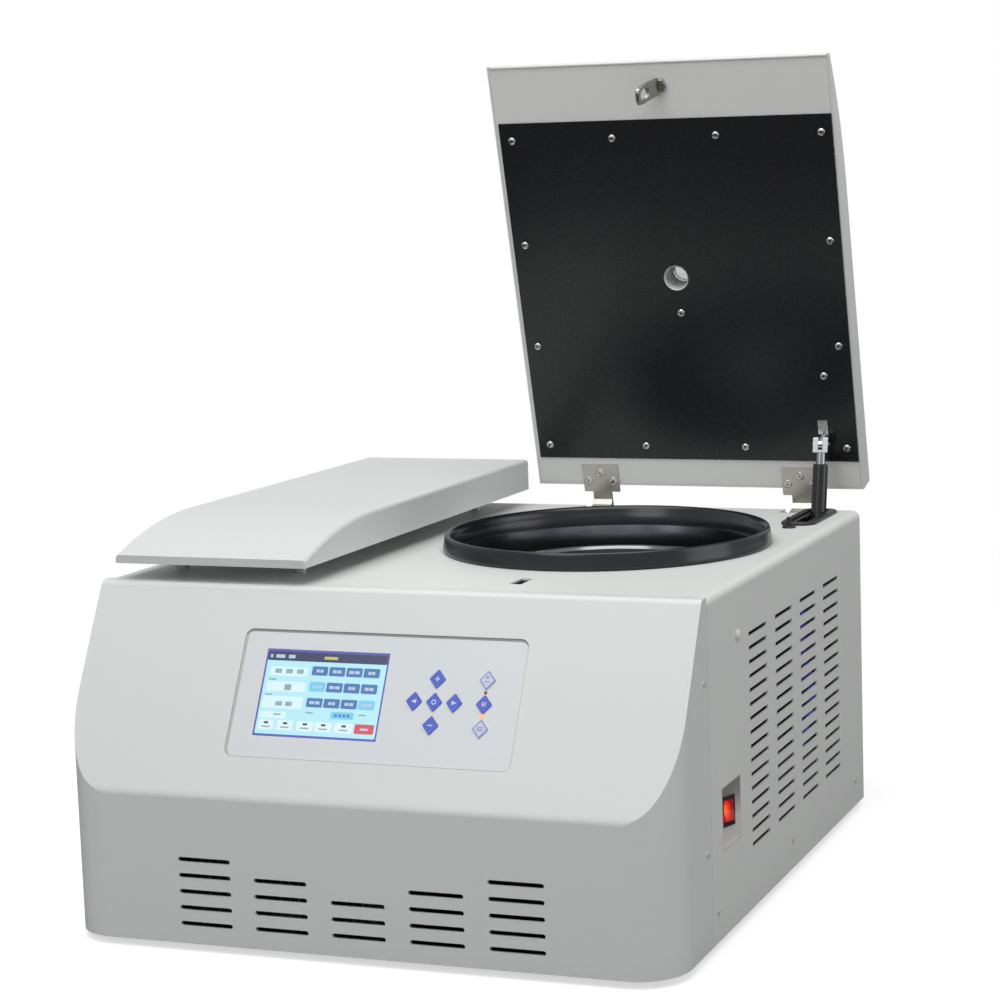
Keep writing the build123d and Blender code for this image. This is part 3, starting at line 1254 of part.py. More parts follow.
def make_fan_shroud():
    x, y0, z = fan_centre()
    frame = Pos(x, y0 + FAN_D / 2, z) * Box(FAN_SIZE, FAN_D, FAN_SIZE)
    frame -= bar_y(x, y0 - 1, y0 + FAN_D + 1, z, FAN_R + FAN_TIP_GAP)
    stator = bar_y(x, y0 + FAN_D - 6, y0 + FAN_D, z, FAN_HUB_R)
    arms = Pos(x, y0 + FAN_D - 3, z) * Box(FAN_SIZE - 6, 5, 5)
    arms += Pos(x, y0 + FAN_D - 3, z) * Box(5, 5, FAN_SIZE - 6)
    legs = block(x - FAN_SIZE / 2, x + FAN_SIZE / 2, y0, y0 + FAN_D, PAN_TOP, z - FAN_SIZE / 2)
    axle = bar_y(x, y0 + 8, y0 + FAN_D - 3, z, 2.5)
    return frame + stator + arms + legs + axle


def make_condenser_fan():
    """Hub with pitched blades, turning on the shroud's axle."""
    x, y0, z = fan_centre()
    depth = FAN_D - 10
    hub = Cylinder(FAN_HUB_R, depth)
    blade = Pos((FAN_HUB_R + FAN_R) / 2 - 1, 0, 0) * Rot(38, 0, 0) * Box(FAN_R - FAN_HUB_R + 2, 20, 1.6)
    blade &= Cylinder(FAN_R, depth)
    for k in range(FAN_BLADES):
        hub += Rot(0, 0, 360 / FAN_BLADES * k) * blade
    hub -= Pos(0, 0, -6) * Cylinder(2.5 + SHAFT_GAP, depth)
    return Pos(x, y0 + 2 + depth / 2, z) * Rot(90, 0, 0) * hub


def make_drive_inverter():
    """Power module with a finned heat sink, on the chassis pan."""
    x0 = INVERTER_X - INVERTER_W / 2
    y0 = INVERTER_Y - INVERTER_L / 2
    module = block(x0, x0 + INVERTER_W, y0, y0 + INVERTER_L, PAN_TOP, PAN_TOP + INVERTER_H)
    fins = 9
    for k in range(fins):
        x = x0 + 8 + k * (INVERTER_W - 20) / (fins - 1)
        top = PAN_TOP + INVERTER_H
        module += block(x, x + 4, y0 + 6, y0 + INVERTER_L - 6, top, top + 25)
    return module


def make_wiring_loom():
    """Control wires that run up behind the right-hand slots."""
    wires = []
    for k in range(WIRE_COUNT):
        y = WIRE_Y + k * WIRE_PITCH
        inside = FOAM_HALF + CH_X - WIRE_X
        reach = WIRE_REACH + inside
        tail = (WIRE_X + inside, y - reach, WIRE_BOTTOM)
        points = [tail, (WIRE_X, y, WIRE_BOTTOM + 6), (WIRE_X, y, WIRE_TOP)]
        path = FilletPolyline(*points, radius=WIRE_BEND_R)
        section = Plane(origin=path @ 0, z_dir=path % 0) * Circle(WIRE_R)
        wires.append(sweep(section, path=path))
    return wires


def make_wire_clips():
    """Clamp bars on the foam jacket that hold the wires."""
    y0 = WIRE_Y - 8
    y1 = WIRE_Y + (WIRE_COUNT - 1) * WIRE_PITCH + 8
    heights = (WIRE_BOTTOM + 100, WIRE_TOP - 8)
    return [block(CH_X + FOAM_HALF, WIRE_X - WIRE_R, y0, y1, z - 4, z + 4) for z in heights]


def make_panel_screws():
    screws = [bar_x(HALF_W, HALF_W + SCREW_HEAD, y, PANEL_SCREW_Z, SCREW_R) for y in PANEL_SCREW_Y]
    screws += [bar_x(-HALF_W - SCREW_HEAD, -HALF_W, y, PANEL_SCREW_Z, SCREW_R) for y in PANEL_SCREW_Y]
    for z in FLANK_SCREW_Z:
        screws.append(bar_x(HALF_W, HALF_W + SCREW_HEAD, FLANK_SCREW_Y, z, SCREW_R))
        screws.append(bar_x(-HALF_W - SCREW_HEAD, -HALF_W, FLANK_SCREW_Y, z, SCREW_R))
    return screws


save("base_plate", make_base_plate())
save("feet", *make_feet())
save("front_moulding", make_front_moulding())
save("cabinet_wrap", make_cabinet_wrap())
save("rear_panel", make_rear_panel())
save("side_cover", make_side_cover())
save("cover_posts", *make_cover_posts())
save("panel_screws", *make_panel_screws())

save("lid_shell", make_lid_shell())
save("lid_pan", make_lid_pan())
save("lid_liner", make_lid_liner())
save("lid_screws", *make_liner_screws(), *make_hinge_screws())
save("port_insert", make_port_insert())
save("port_glass", make_port_glass())
save("hinge_arms", *make_hinge_arms())
save("hinge_brackets", *make_hinge_brackets())
save("hinge_pins", *make_hinge_pins())
save("striker", make_striker())
save("strut_bracket", make_strut_bracket())
save("strut_cylinder", make_strut_cylinder())
save("strut_rod", make_strut_rod())
save("strut_anchor", make_strut_anchor())
save("boot_plate", make_boot_plate())
save("lid_stop", make_lid_stop())
save("lid_lock", make_lid_lock())
save("lock_bolt", make_lock_bolt())
save("release_plug", make_release_plug())

save("chamber_seal", make_chamber_seal())
save("chamber_bowl", make_chamber_bowl())
save("foam_jacket", make_foam_jacket())
save("evaporator_coil", make_evaporator_coil())
save("drive_motor", make_drive_motor())
save("motor_plate", make_motor_plate())
save("motor_mounts", *make_motor_mounts())
save("drive_shaft", make_drive_shaft())
save("rotor", make_rotor())
save("rotor_nut", make_rotor_nut())

save("control_panel", make_control_panel())
save("screen", make_screen())
for key_name, key_x, key_down in key_centres():
    save(key_name, make_key(key_x, key_down))
save("status_leds", *make_status_leds())
save("control_board", make_control_board())
save("switch_pocket", make_switch_pocket())
save("switch_frame", make_switch_frame())
save("power_rocker", make_power_rocker())

save("power_inlet", make_power_inlet())
save("compressor", make_compressor())
save("condenser", make_condenser())
save("fan_shroud", make_fan_shroud())
save("condenser_fan", make_condenser_fan())
save("drive_inverter", make_drive_inverter())
save("wiring_loom", *make_wiring_loom())
save("wire_clips", *make_wire_clips())
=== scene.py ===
import math

import bmesh
import bpy
from mathutils import Matrix, Vector


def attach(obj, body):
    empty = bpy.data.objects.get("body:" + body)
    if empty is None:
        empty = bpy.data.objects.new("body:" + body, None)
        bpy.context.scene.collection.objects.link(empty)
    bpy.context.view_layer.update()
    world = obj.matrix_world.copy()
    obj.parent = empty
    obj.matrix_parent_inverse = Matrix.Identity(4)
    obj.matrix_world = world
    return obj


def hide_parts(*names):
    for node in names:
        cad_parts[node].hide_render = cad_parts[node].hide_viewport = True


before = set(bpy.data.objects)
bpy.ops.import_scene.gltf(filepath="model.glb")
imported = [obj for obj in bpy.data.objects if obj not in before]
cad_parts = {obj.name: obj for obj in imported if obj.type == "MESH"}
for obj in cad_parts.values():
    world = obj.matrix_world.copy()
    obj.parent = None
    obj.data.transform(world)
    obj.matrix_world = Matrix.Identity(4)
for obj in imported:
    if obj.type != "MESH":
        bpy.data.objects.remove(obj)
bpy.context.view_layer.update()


# The photographer's place
# A long lens in front of the instrument's right shoulder, a little above the open lid's middle.
# The sideways shift is the photograph's own framing.
CAMERA_PLACE = Vector((1.065407, -2.508095, 0.779438))
CAMERA_YAW = 0.3392398
CAMERA_PITCH = 0.1352707
CAMERA_ROLL = -0.0271921
CAMERA_LENS = 90.0525
CAMERA_SHIFT = -0.14

look = Vector((
    -math.sin(CAMERA_YAW) * math.cos(CAMERA_PITCH),
    math.cos(CAMERA_YAW) * math.cos(CAMERA_PITCH),
    -math.sin(CAMERA_PITCH),
))
level = Vector((math.cos(CAMERA_YAW), math.sin(CAMERA_YAW), 0))
upright = level.cross(look)
camera_x = level * math.cos(CAMERA_ROLL) + upright * math.sin(CAMERA_ROLL)
camera_y = upright * math.cos(CAMERA_ROLL) - level * math.sin(CAMERA_ROLL)
camera_data = bpy.data.cameras.new("camera")
camera_data.sensor_width = 36.0
camera_data.lens = CAMERA_LENS
camera_data.shift_x = CAMERA_SHIFT
camera_data.clip_end = 50.0
camera = bpy.data.objects.new("camera", camera_data)
bpy.context.collection.objects.link(camera)
turn = Matrix((camera_x, camera_y, -look)).transposed()
camera.matrix_world = Matrix.Translation(CAMERA_PLACE) @ turn.to_4x4()
bpy.context.scene.camera = camera
bpy.context.scene.view_settings.view_transform = "Standard"


# The table and the lamps
# A plain white sweep under a wide overhead softbox, with weaker boxes at the front left and the right.
# The floor looks white to the camera and still takes the instrument's shadow.
FLOOR_HALF = 12.0
FLOOR_SEEN = 0.6
FLOOR_BOUNCE = 0.36
FLOOR_MIRRORED = 0.12
FLOOR_LIFT = 0.62
ROOM_LIGHT = 0.32
ROOM_MIRRORED = 0.6
SHADE_NEAR = 0.8
SHADE_FAR = 2.2


def area_lamp(name, place, target, width, height, power):
    """A rectangular softbox that faces a target."""
    data = bpy.data.lights.new(name, "AREA")
    data.shape = "RECTANGLE"
    data.size = width
    data.size_y = height
    data.energy = power
    lamp = bpy.data.objects.new(name, data)
    bpy.context.collection.objects.link(lamp)
    lamp.location = place
    lamp.rotation_euler = (Vector(target) - Vector(place)).to_track_quat("-Z", "Y").to_euler()
    return lamp


area_lamp("softbox_above", (0.1, -0.7, 3.0), (0.0, -0.1, 0.3), 3.2, 2.6, 66.0)
area_lamp("softbox_front", (-0.7, -3.0, 2.3), (0.0, 0.0, 0.4), 1.6, 1.6, 17.0)
area_lamp("softbox_right", (3.0, 0.2, 1.15), (0.1, 0.0, 0.25), 1.8, 1.6, 13.5)

world = bpy.data.worlds.new("studio")
world.use_nodes = True
bpy.context.scene.world = world
world_nodes = world.node_tree.nodes
world_links = world.node_tree.links
room_light = world_nodes["Background"]
room_light.inputs["Color"].default_value = (1.0, 1.0, 1.0, 1.0)
path = world_nodes.new("ShaderNodeLightPath")
mirror_part = world_nodes.new("ShaderNodeMath")
mirror_part.operation = "MULTIPLY_ADD"
mirror_part.inputs[1].default_value = ROOM_MIRRORED - ROOM_LIGHT
mirror_part.inputs[2].default_value = ROOM_LIGHT
glass_part = world_nodes.new("ShaderNodeMath")
glass_part.operation = "MULTIPLY_ADD"
glass_part.inputs[1].default_value = 1.0 - ROOM_LIGHT
camera_part = world_nodes.new("ShaderNodeMath")
camera_part.operation = "MULTIPLY_ADD"
camera_part.inputs[1].default_value = 1.0 - ROOM_LIGHT
world_links.new(path.outputs["Is Glossy Ray"], mirror_part.inputs[0])
world_links.new(path.outputs["Is Transmission Ray"], glass_part.inputs[0])
world_links.new(mirror_part.outputs["Value"], glass_part.inputs[2])
world_links.new(path.outputs["Is Camera Ray"], camera_part.inputs[0])
world_links.new(glass_part.outputs["Value"], camera_part.inputs[2])
world_links.new(camera_part.outputs["Value"], room_light.inputs["Strength"])

floor_mesh = bpy.data.meshes.new("table_top")
floor_corners = [(-FLOOR_HALF, -FLOOR_HALF, 0), (FLOOR_HALF, -FLOOR_HALF, 0),
                 (FLOOR_HALF, FLOOR_HALF, 0), (-FLOOR_HALF, FLOOR_HALF, 0)]
floor_mesh.from_pydata(floor_corners, [], [(0, 1, 2, 3)])
floor = bpy.data.objects.new("table_top", floor_mesh)
bpy.context.collection.objects.link(floor)
floor_paper = bpy.data.materials.new("white_paper")
floor_paper.use_nodes = True
paper_nodes = floor_paper.node_tree.nodes
paper_links = floor_paper.node_tree.links
paper = paper_nodes["Principled BSDF"]
paper.inputs["Roughness"].default_value = 0.9
paper.inputs["Specular IOR Level"].default_value = 0.1
paper.inputs["Emission Color"].default_value = (1.0, 1.0, 1.0, 1.0)
camera_ray = paper_nodes.new("ShaderNodeLightPath")
whiteness = paper_nodes.new("ShaderNodeMapRange")
whiteness.inputs["To Min"].default_value = FLOOR_BOUNCE
whiteness.inputs["To Max"].default_value = FLOOR_SEEN
mirrored = paper_nodes.new("ShaderNodeMath")
mirrored.operation = "MULTIPLY"
mirrored.inputs[1].default_value = FLOOR_BOUNCE - FLOOR_MIRRORED
unmirrored = paper_nodes.new("ShaderNodeMath")
unmirrored.operation = "SUBTRACT"
lift = paper_nodes.new("ShaderNodeMath")
lift.operation = "MULTIPLY"
lift.inputs[1].default_value = FLOOR_LIFT
fibre = paper_nodes.new("ShaderNodeTexNoise")
fibre.inputs["Scale"].default_value = 300.0
tint = paper_nodes.new("ShaderNodeMapRange")
tint.inputs["To Min"].default_value = 0.97
tint.inputs["To Max"].default_value = 1.0
shade = paper_nodes.new("ShaderNodeMath")
shade.operation = "MULTIPLY"
grey = paper_nodes.new("ShaderNodeCombineColor")
paper_links.new(camera_ray.outputs["Is Camera Ray"], whiteness.inputs["Value"])
paper_links.new(camera_ray.outputs["Is Camera Ray"], lift.inputs[0])
paper_links.new(fibre.outputs["Fac"], tint.inputs["Value"])
paper_links.new(camera_ray.outputs["Is Glossy Ray"], mirrored.inputs[0])
paper_links.new(whiteness.outputs["Result"], unmirrored.inputs[0])
paper_links.new(mirrored.outputs["Value"], unmirrored.inputs[1])
paper_links.new(unmirrored.outputs["Value"], shade.inputs[0])
paper_links.new(tint.outputs["Result"], shade.inputs[1])
for channel in ("Red", "Green", "Blue"):
    paper_links.new(shade.outputs["Value"], grey.inputs[channel])
paper_links.new(grey.outputs["Color"], paper.inputs["Base Color"])
paper_links.new(lift.outputs["Value"], paper.inputs["Emission Strength"])
spot = paper_nodes.new("ShaderNodeTexCoord")
away = paper_nodes.new("ShaderNodeVectorMath")
away.operation = "LENGTH"
fade = paper_nodes.new("ShaderNodeMapRange")
fade.interpolation_type = "SMOOTHSTEP"
fade.inputs["From Min"].default_value = SHADE_NEAR
fade.inputs["From Max"].default_value = SHADE_FAR
seen_fade = paper_nodes.new("ShaderNodeMath")
seen_fade.operation = "MULTIPLY"
glow = paper_nodes.new("ShaderNodeEmission")
join = paper_nodes.new("ShaderNodeMixShader")
paper_links.new(spot.outputs["Object"], away.inputs[0])
paper_links.new(away.outputs["Value"], fade.inputs["Value"])
paper_links.new(fade.outputs["Result"], seen_fade.inputs[0])
paper_links.new(camera_ray.outputs["Is Camera Ray"], seen_fade.inputs[1])
paper_links.new(seen_fade.outputs["Value"], join.inputs["Fac"])
paper_links.new(paper.outputs["BSDF"], join.inputs[1])
paper_links.new(glow.outputs["Emission"], join.inputs[2])
paper_links.new(join.outputs["Shader"], paper_nodes["Material Output"].inputs["Surface"])
floor_mesh.materials.append(floor_paper)


# The sheet-metal cabinet
# Folded steel sheet with a baked off-white powder coat: a faint orange peel and almost no gloss.
# The wrap, rear panel, raised cover and lid cover come from one paint line.


def tone(red, green, blue):
    """A colour as it is read off a screen, turned into the renderer's light values."""
    def light(value):
        value /= 255
        return value / 12.92 if value <= 0.04045 else ((value + 0.055) / 1.055) ** 2.4
    return (light(red), light(green), light(blue), 1.0)


def surface(name, colour, rough, metal=0.0, grain=800.0, bump=0.03, fleck=0.03, stretch=(1, 1, 1)):
    """A finish with its own grain, whose size is measured on the object in metres."""
    material = bpy.data.materials.new(name)
    material.use_nodes = True
    nodes = material.node_tree.nodes
    links = material.node_tree.links
    shader = nodes["Principled BSDF"]
    shader.inputs["Metallic"].default_value = metal
    place = nodes.new("ShaderNodeTexCoord")
    scale = nodes.new("ShaderNodeMapping")
    scale.inputs["Scale"].default_value = stretch
    noise = nodes.new("ShaderNodeTexNoise")
    noise.inputs["Scale"].default_value = grain
    noise.inputs["Detail"].default_value = 3.0
    links.new(place.outputs["Object"], scale.inputs["Vector"])
    links.new(scale.outputs["Vector"], noise.inputs["Vector"])
    shade = nodes.new("ShaderNodeValToRGB")
    low = tuple(c * (1 - fleck) for c in colour[:3]) + (1.0,)
    high = tuple(min(1.0, c * (1 + fleck)) for c in colour[:3]) + (1.0,)
    shade.color_ramp.elements[0].color = low
    shade.color_ramp.elements[1].color = high
    shade.color_ramp.elements[0].position = 0.3
    shade.color_ramp.elements[1].position = 0.7
    links.new(noise.outputs["Fac"], shade.inputs["Fac"])
    links.new(shade.outputs["Color"], shader.inputs["Base Color"])
    gloss = nodes.new("ShaderNodeMapRange")
    gloss.inputs["To Min"].default_value = rough * 0.9
    gloss.inputs["To Max"].default_value = min(1.0, rough * 1.1)
    links.new(noise.outputs["Fac"], gloss.inputs["Value"])
    links.new(gloss.outputs["Result"], shader.inputs["Roughness"])
    relief = nodes.new("ShaderNodeBump")
    relief.inputs["Strength"].default_value = bump
    relief.inputs["Distance"].default_value = 0.0004
    links.new(noise.outputs["Fac"], relief.inputs["Height"])
    links.new(relief.outputs["Normal"], shader.inputs["Normal"])
    return material


def dress(material, *nodes):
    """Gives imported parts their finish."""
    for node in nodes:
        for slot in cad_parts[node].material_slots:
            slot.material = material


powder_coat = surface("powder_coat", tone(226, 228, 226), 0.42, grain=700.0, bump=0.05, fleck=0.012)
dress(powder_coat, "cabinet_wrap", "rear_panel", "side_cover", "lid_shell")
inner_pan = surface("lid_inner_paint", tone(227, 228, 226), 0.48, grain=700.0, bump=0.05, fleck=0.012)
dress(inner_pan, "lid_pan")


# The raised cover's nose
# The cover is one pressed shell whose top falls in a long arc to its front edge. Its screw bosses
# end under that arc, so the skin over them is smooth.
COVER_TOP = 0.413
NOSE_START = -0.252
NOSE_RUN = 0.157
NOSE_DROP = 0.0285
NOSE_RADIUS = (NOSE_RUN**2 + NOSE_DROP**2) / (2 * NOSE_DROP)
FRONT_BOSSES = ((-0.281, -0.172), (-0.14, -0.172))
BOSS_RADIUS = 0.0116


def nose_top(y):
    """Height of the cover's skin at a distance from front to back."""
    run = max(0.0, NOSE_RUN - (y - NOSE_START))
    return COVER_TOP - NOSE_RADIUS + math.sqrt(NOSE_RADIUS**2 - run**2)


def over_nose(x, y, z):
    over_boss = any(math.hypot(x - bx, y - by) < BOSS_RADIUS for bx, by in FRONT_BOSSES)
    return (x, y, min(z, nose_top(y)) if over_boss else z)


def reshaped(name, node, body, material, moved):
    """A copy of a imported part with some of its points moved, which stands in for that part."""
    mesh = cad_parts[node].data.copy()
    mesh.name = name
    mesh.materials.clear()
    mesh.materials.append(material)
    for vertex in mesh.vertices:
        vertex.co = moved(*vertex.co)
    thing = bpy.data.objects.new(name, mesh)
    bpy.context.collection.objects.link(thing)
    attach(thing, body)
    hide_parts(node)


# The raised cover takes a darker copy of the powder coat: painted shade, since the cover is the same paint
# as the deck.
cover_shaded_coat = surface("cover_shaded_coat", tone(218, 220, 219), 0.42, grain=700.0, bump=0.05, fleck=0.012)
reshaped("cover_skin", "side_cover", "cabinet", cover_shaded_coat, over_nose)


# The chassis pan, feet and cover posts
# Zinc-plated steel pan on four black rubber feet; plain turned posts hold the raised cover.
zinc_plate = surface("zinc_plate", tone(176, 178, 180), 0.38, metal=0.9, grain=240.0, bump=0.05, fleck=0.08)
dress(zinc_plate, "base_plate", "cover_posts", "motor_plate", "strut_anchor")
foot_rubber = surface("foot_rubber", tone(34, 34, 35), 0.75, grain=1200.0, bump=0.1, fleck=0.1)
dress(foot_rubber, "feet", "motor_mounts")


# The front moulding
# One thick-walled plastic housing with a fine spark-eroded texture, a shade smoother than the paint.
moulding_colour = tone(225, 227, 226)
moulded_plastic = surface("moulded_plastic", moulding_colour, 0.36, grain=1500.0, bump=0.06, fleck=0.012)
dress(moulded_plastic, "front_moulding")
# The switch pocket's plastic carries painted light and shade by height: pale near the pocket's floor,
# darker higher up where the opening's top edge shades the ramp.
pocket_shaded_plastic = surface("pocket_shaded_plastic", tone(176, 174, 171), 0.42, grain=1300.0, bump=0.05, fleck=0.02)
POCKET_LIT_Z = 0.098
POCKET_DARK_Z = 0.162
pocket_nodes = pocket_shaded_plastic.node_tree.nodes
pocket_links = pocket_shaded_plastic.node_tree.links
pocket_apart = pocket_nodes.new("ShaderNodeSeparateXYZ")
pocket_shade_mask = pocket_nodes.new("ShaderNodeMapRange")
pocket_shade_mask.inputs["From Min"].default_value = POCKET_LIT_Z
pocket_shade_mask.inputs["From Max"].default_value = POCKET_DARK_Z
pocket_links.new(pocket_nodes["Texture Coordinate"].outputs["Object"], pocket_apart.inputs["Vector"])
pocket_links.new(pocket_apart.outputs["Z"], pocket_shade_mask.inputs["Value"])
pocket_links.new(pocket_shade_mask.outputs["Result"], pocket_nodes["Color Ramp"].inputs["Fac"])
pocket_nodes["Color Ramp"].color_ramp.elements[0].color = tone(214, 212, 209)
pocket_nodes["Color Ramp"].color_ramp.elements[1].color = tone(146, 143, 139)
dress(pocket_shaded_plastic, "switch_pocket")


# The control panel
# A satin overlay sunk in the moulding, with the display's window and the windows of eight keys.
PANEL_TOP = Vector((0, -0.254, 0.358))
PANEL_OUT = Vector((0, -0.8795970, 0.4757098))
PANEL_UP = Vector((0, 0.4757098, 0.8795970))
PANEL_FACE = -0.0008
overlay = surface("panel_overlay", tone(223, 227, 230), 0.33, grain=1900.0, bump=0.03, fleck=0.01)
dress(overlay, "control_panel")
board_green = surface("board_green", tone(28, 92, 60), 0.4, grain=300.0, bump=0.02, fleck=0.2)
dress(board_green, "control_board")


def panel_point(across, down, out):
    """A point on the sloping panel, in metres: across it, down it and out of it."""
    return PANEL_TOP + Vector((across, 0, 0)) - PANEL_UP * down + PANEL_OUT * out


def piece(name, mesh_maker, materials, body, smooth=False):
    """Makes one closed mesh, gives it its finishes and hands it to the body that carries it."""
    mesh = bpy.data.meshes.new(name)
    work = bmesh.new()
    mesh_maker(work)
    bmesh.ops.recalc_face_normals(work, faces=work.faces)
    for face in work.faces:
        face.smooth = smooth
    work.to_mesh(mesh)
    work.free()
    for material in materials:
        mesh.materials.append(material)
    thing = bpy.data.objects.new(name, mesh)
    bpy.context.collection.objects.link(thing)
    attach(thing, body)
    return thing


def prism(work, outline, place, low, high, finish=0):
    """A closed prism over an outline; place turns outline x, y and height into the object's space."""
    floor_ring = [work.verts.new(place(x, y, low)) for x, y in outline]
    roof_ring = [work.verts.new(place(x, y, high)) for x, y in outline]
    count = len(outline)
    faces = [work.faces.new(floor_ring), work.faces.new(roof_ring[::-1])]
    for k in range(count):
        after = (k + 1) % count
        faces.append(work.faces.new((floor_ring[k], roof_ring[k], roof_ring[after], floor_ring[after])))
    for face in faces:
        face.material_index = finish


def rounded_box(x0, y0, x1, y1, radius, steps=3):
    """Outline of a rectangle with rounded corners."""
    points = []
    corners = ((x1 - radius, y1 - radius), (x0 + radius, y1 - radius),
               (x0 + radius, y0 + radius), (x1 - radius, y0 + radius))
    for quarter, (cx, cy) in enumerate(corners):
        for k in range(steps + 1):
            angle = math.pi / 2 * (quarter + k / steps)
            points.append((cx + radius * math.cos(angle), cy + radius * math.sin(angle)))
    return points


# The painted shade round the panel
# The overlay sits in a recess. Thin strips lying on the panel paint the shade of its walls:
# a dark line along the upper wall and a paler one along the left wall.
PANEL_MID = (0.005, 0.1132)
RECESS_EDGE_HALF = (0.1548, 0.0668)
RECESS_EDGE_CORNER = 0.009
recess_dark_shade = surface("recess_dark_shade", tone(150, 152, 153), 0.7, grain=900.0, bump=0.02, fleck=0.05)
recess_pale_shade = surface("recess_pale_shade", tone(190, 192, 193), 0.7, grain=900.0, bump=0.02, fleck=0.03)


def recess_shade_strip(work, finish, reach_left, reach_up, thick):
    """A strip of painted shade along the left or the top of the recess; it thins out round the corners."""
    rim = []
    for quarter in range(4):
        side_x = 1 if quarter in (0, 3) else -1
        side_y = 1 if quarter in (0, 1) else -1
        for k in range(7):
            angle = math.pi / 2 * (quarter + k / 6)
            nx, ny = math.cos(angle), math.sin(angle)
            reach = max(0, -nx) * reach_left + max(0, ny) * reach_up
            x = side_x * (RECESS_EDGE_HALF[0] - RECESS_EDGE_CORNER)
            y = side_y * (RECESS_EDGE_HALF[1] - RECESS_EDGE_CORNER)
            outer = (x + nx * RECESS_EDGE_CORNER, y + ny * RECESS_EDGE_CORNER)
            inner = (x + nx * (RECESS_EDGE_CORNER - reach), y + ny * (RECESS_EDGE_CORNER - reach))
            rim.append((outer, inner, reach))

    def place(x, y, out):
        return panel_point(PANEL_MID[0] + x, PANEL_MID[1] - y, PANEL_FACE + out)
    for here, after in zip(rim, rim[1:] + rim[:1]):
        if min(here[2], after[2]) > 0.00005:
            prism(work, [here[0], after[0], after[1], here[1]], place, 0.00001, thick, finish)


def draw_recess_shade(work):
    recess_shade_strip(work, 0, 0, 0.0026, 0.00009)
    recess_shade_strip(work, 1, 0.003, 0, 0.00006)


piece("panel_recess_shade", draw_recess_shade, [recess_dark_shade, recess_pale_shade], "cabinet")


# The display
# A lit colour screen under its window: violet bezel, dark title bar, three readouts, rows of soft
# buttons and a bottom row with one red button. The marks on the buttons stand for no words.
SCREEN_MID = (-0.0545, 0.112)
SCREEN_SIZE = (0.1354, 0.0904)
SCREEN_OUT = PANEL_FACE - 0.0003
LAYER = 0.00005
READOUT_MARKS = (
    (0.225, 0.09), (0.225, 0.18), (0.225, 0.27), (0.4, 0.19), (0.42, 0.19), (0.6, 0.14), (0.6, 0.22)
)
CAPTION_MARKS = ((0.34, 0.05), (0.515, 0.04), (0.74, 0.14), (0.705, 0.4), (0.705, 0.83))


def lit(name, colour, strength):
    """A lit part of a screen or lamp under a clear face."""
    material = bpy.data.materials.new(name)
    material.use_nodes = True
    nodes = material.node_tree.nodes
    links = material.node_tree.links
    shader = nodes["Principled BSDF"]
    place = nodes.new("ShaderNodeTexCoord")
    cells = nodes.new("ShaderNodeTexNoise")
    cells.inputs["Scale"].default_value = 60.0
    links.new(place.outputs["Object"], cells.inputs["Vector"])
    shade = nodes.new("ShaderNodeValToRGB")
    shade.color_ramp.elements[0].color = tuple(c * 0.94 for c in colour[:3]) + (1.0,)
    shade.color_ramp.elements[1].color = colour
    links.new(cells.outputs["Fac"], shade.inputs["Fac"])
    links.new(shade.outputs["Color"], shader.inputs["Emission Color"])
    shader.inputs["Emission Strength"].default_value = strength
    shader.inputs["Base Color"].default_value = (0.02, 0.02, 0.02, 1.0)
    shader.inputs["Roughness"].default_value = 0.25
    return material


screen_paints = [
    lit("screen_bezel", tone(92, 92, 190), 0.9),
    lit("screen_title", tone(54, 64, 104), 0.8),
    lit("screen_field", tone(186, 240, 252), 0.95),
    lit("screen_readout", tone(222, 250, 255), 0.95),
    lit("screen_button", tone(72, 122, 186), 0.9),
    lit("screen_button_lit", tone(118, 208, 244), 0.95),
    lit("screen_tile", tone(228, 250, 253), 0.95),
    lit("screen_stop", tone(222, 78, 88), 0.9),
    lit("screen_mark_pale", tone(190, 214, 236), 0.9),
    lit("screen_mark_yellow", tone(206, 206, 92), 0.9),
    lit("screen_mark_grey", tone(150, 178, 190), 0.9),
]
BEZEL, TITLE, FIELD, READOUT, BUTTON, BUTTON_LIT, TILE, STOP, PALE, YELLOW, GREY = range(11)
dress(screen_paints[BEZEL], "screen")


def screen_place(across, down, out):
    x = SCREEN_MID[0] + (across - 0.5) * SCREEN_SIZE[0]
    y = SCREEN_MID[1] + (down - 0.5) * SCREEN_SIZE[1]
    return panel_point(x, y, SCREEN_OUT + out)


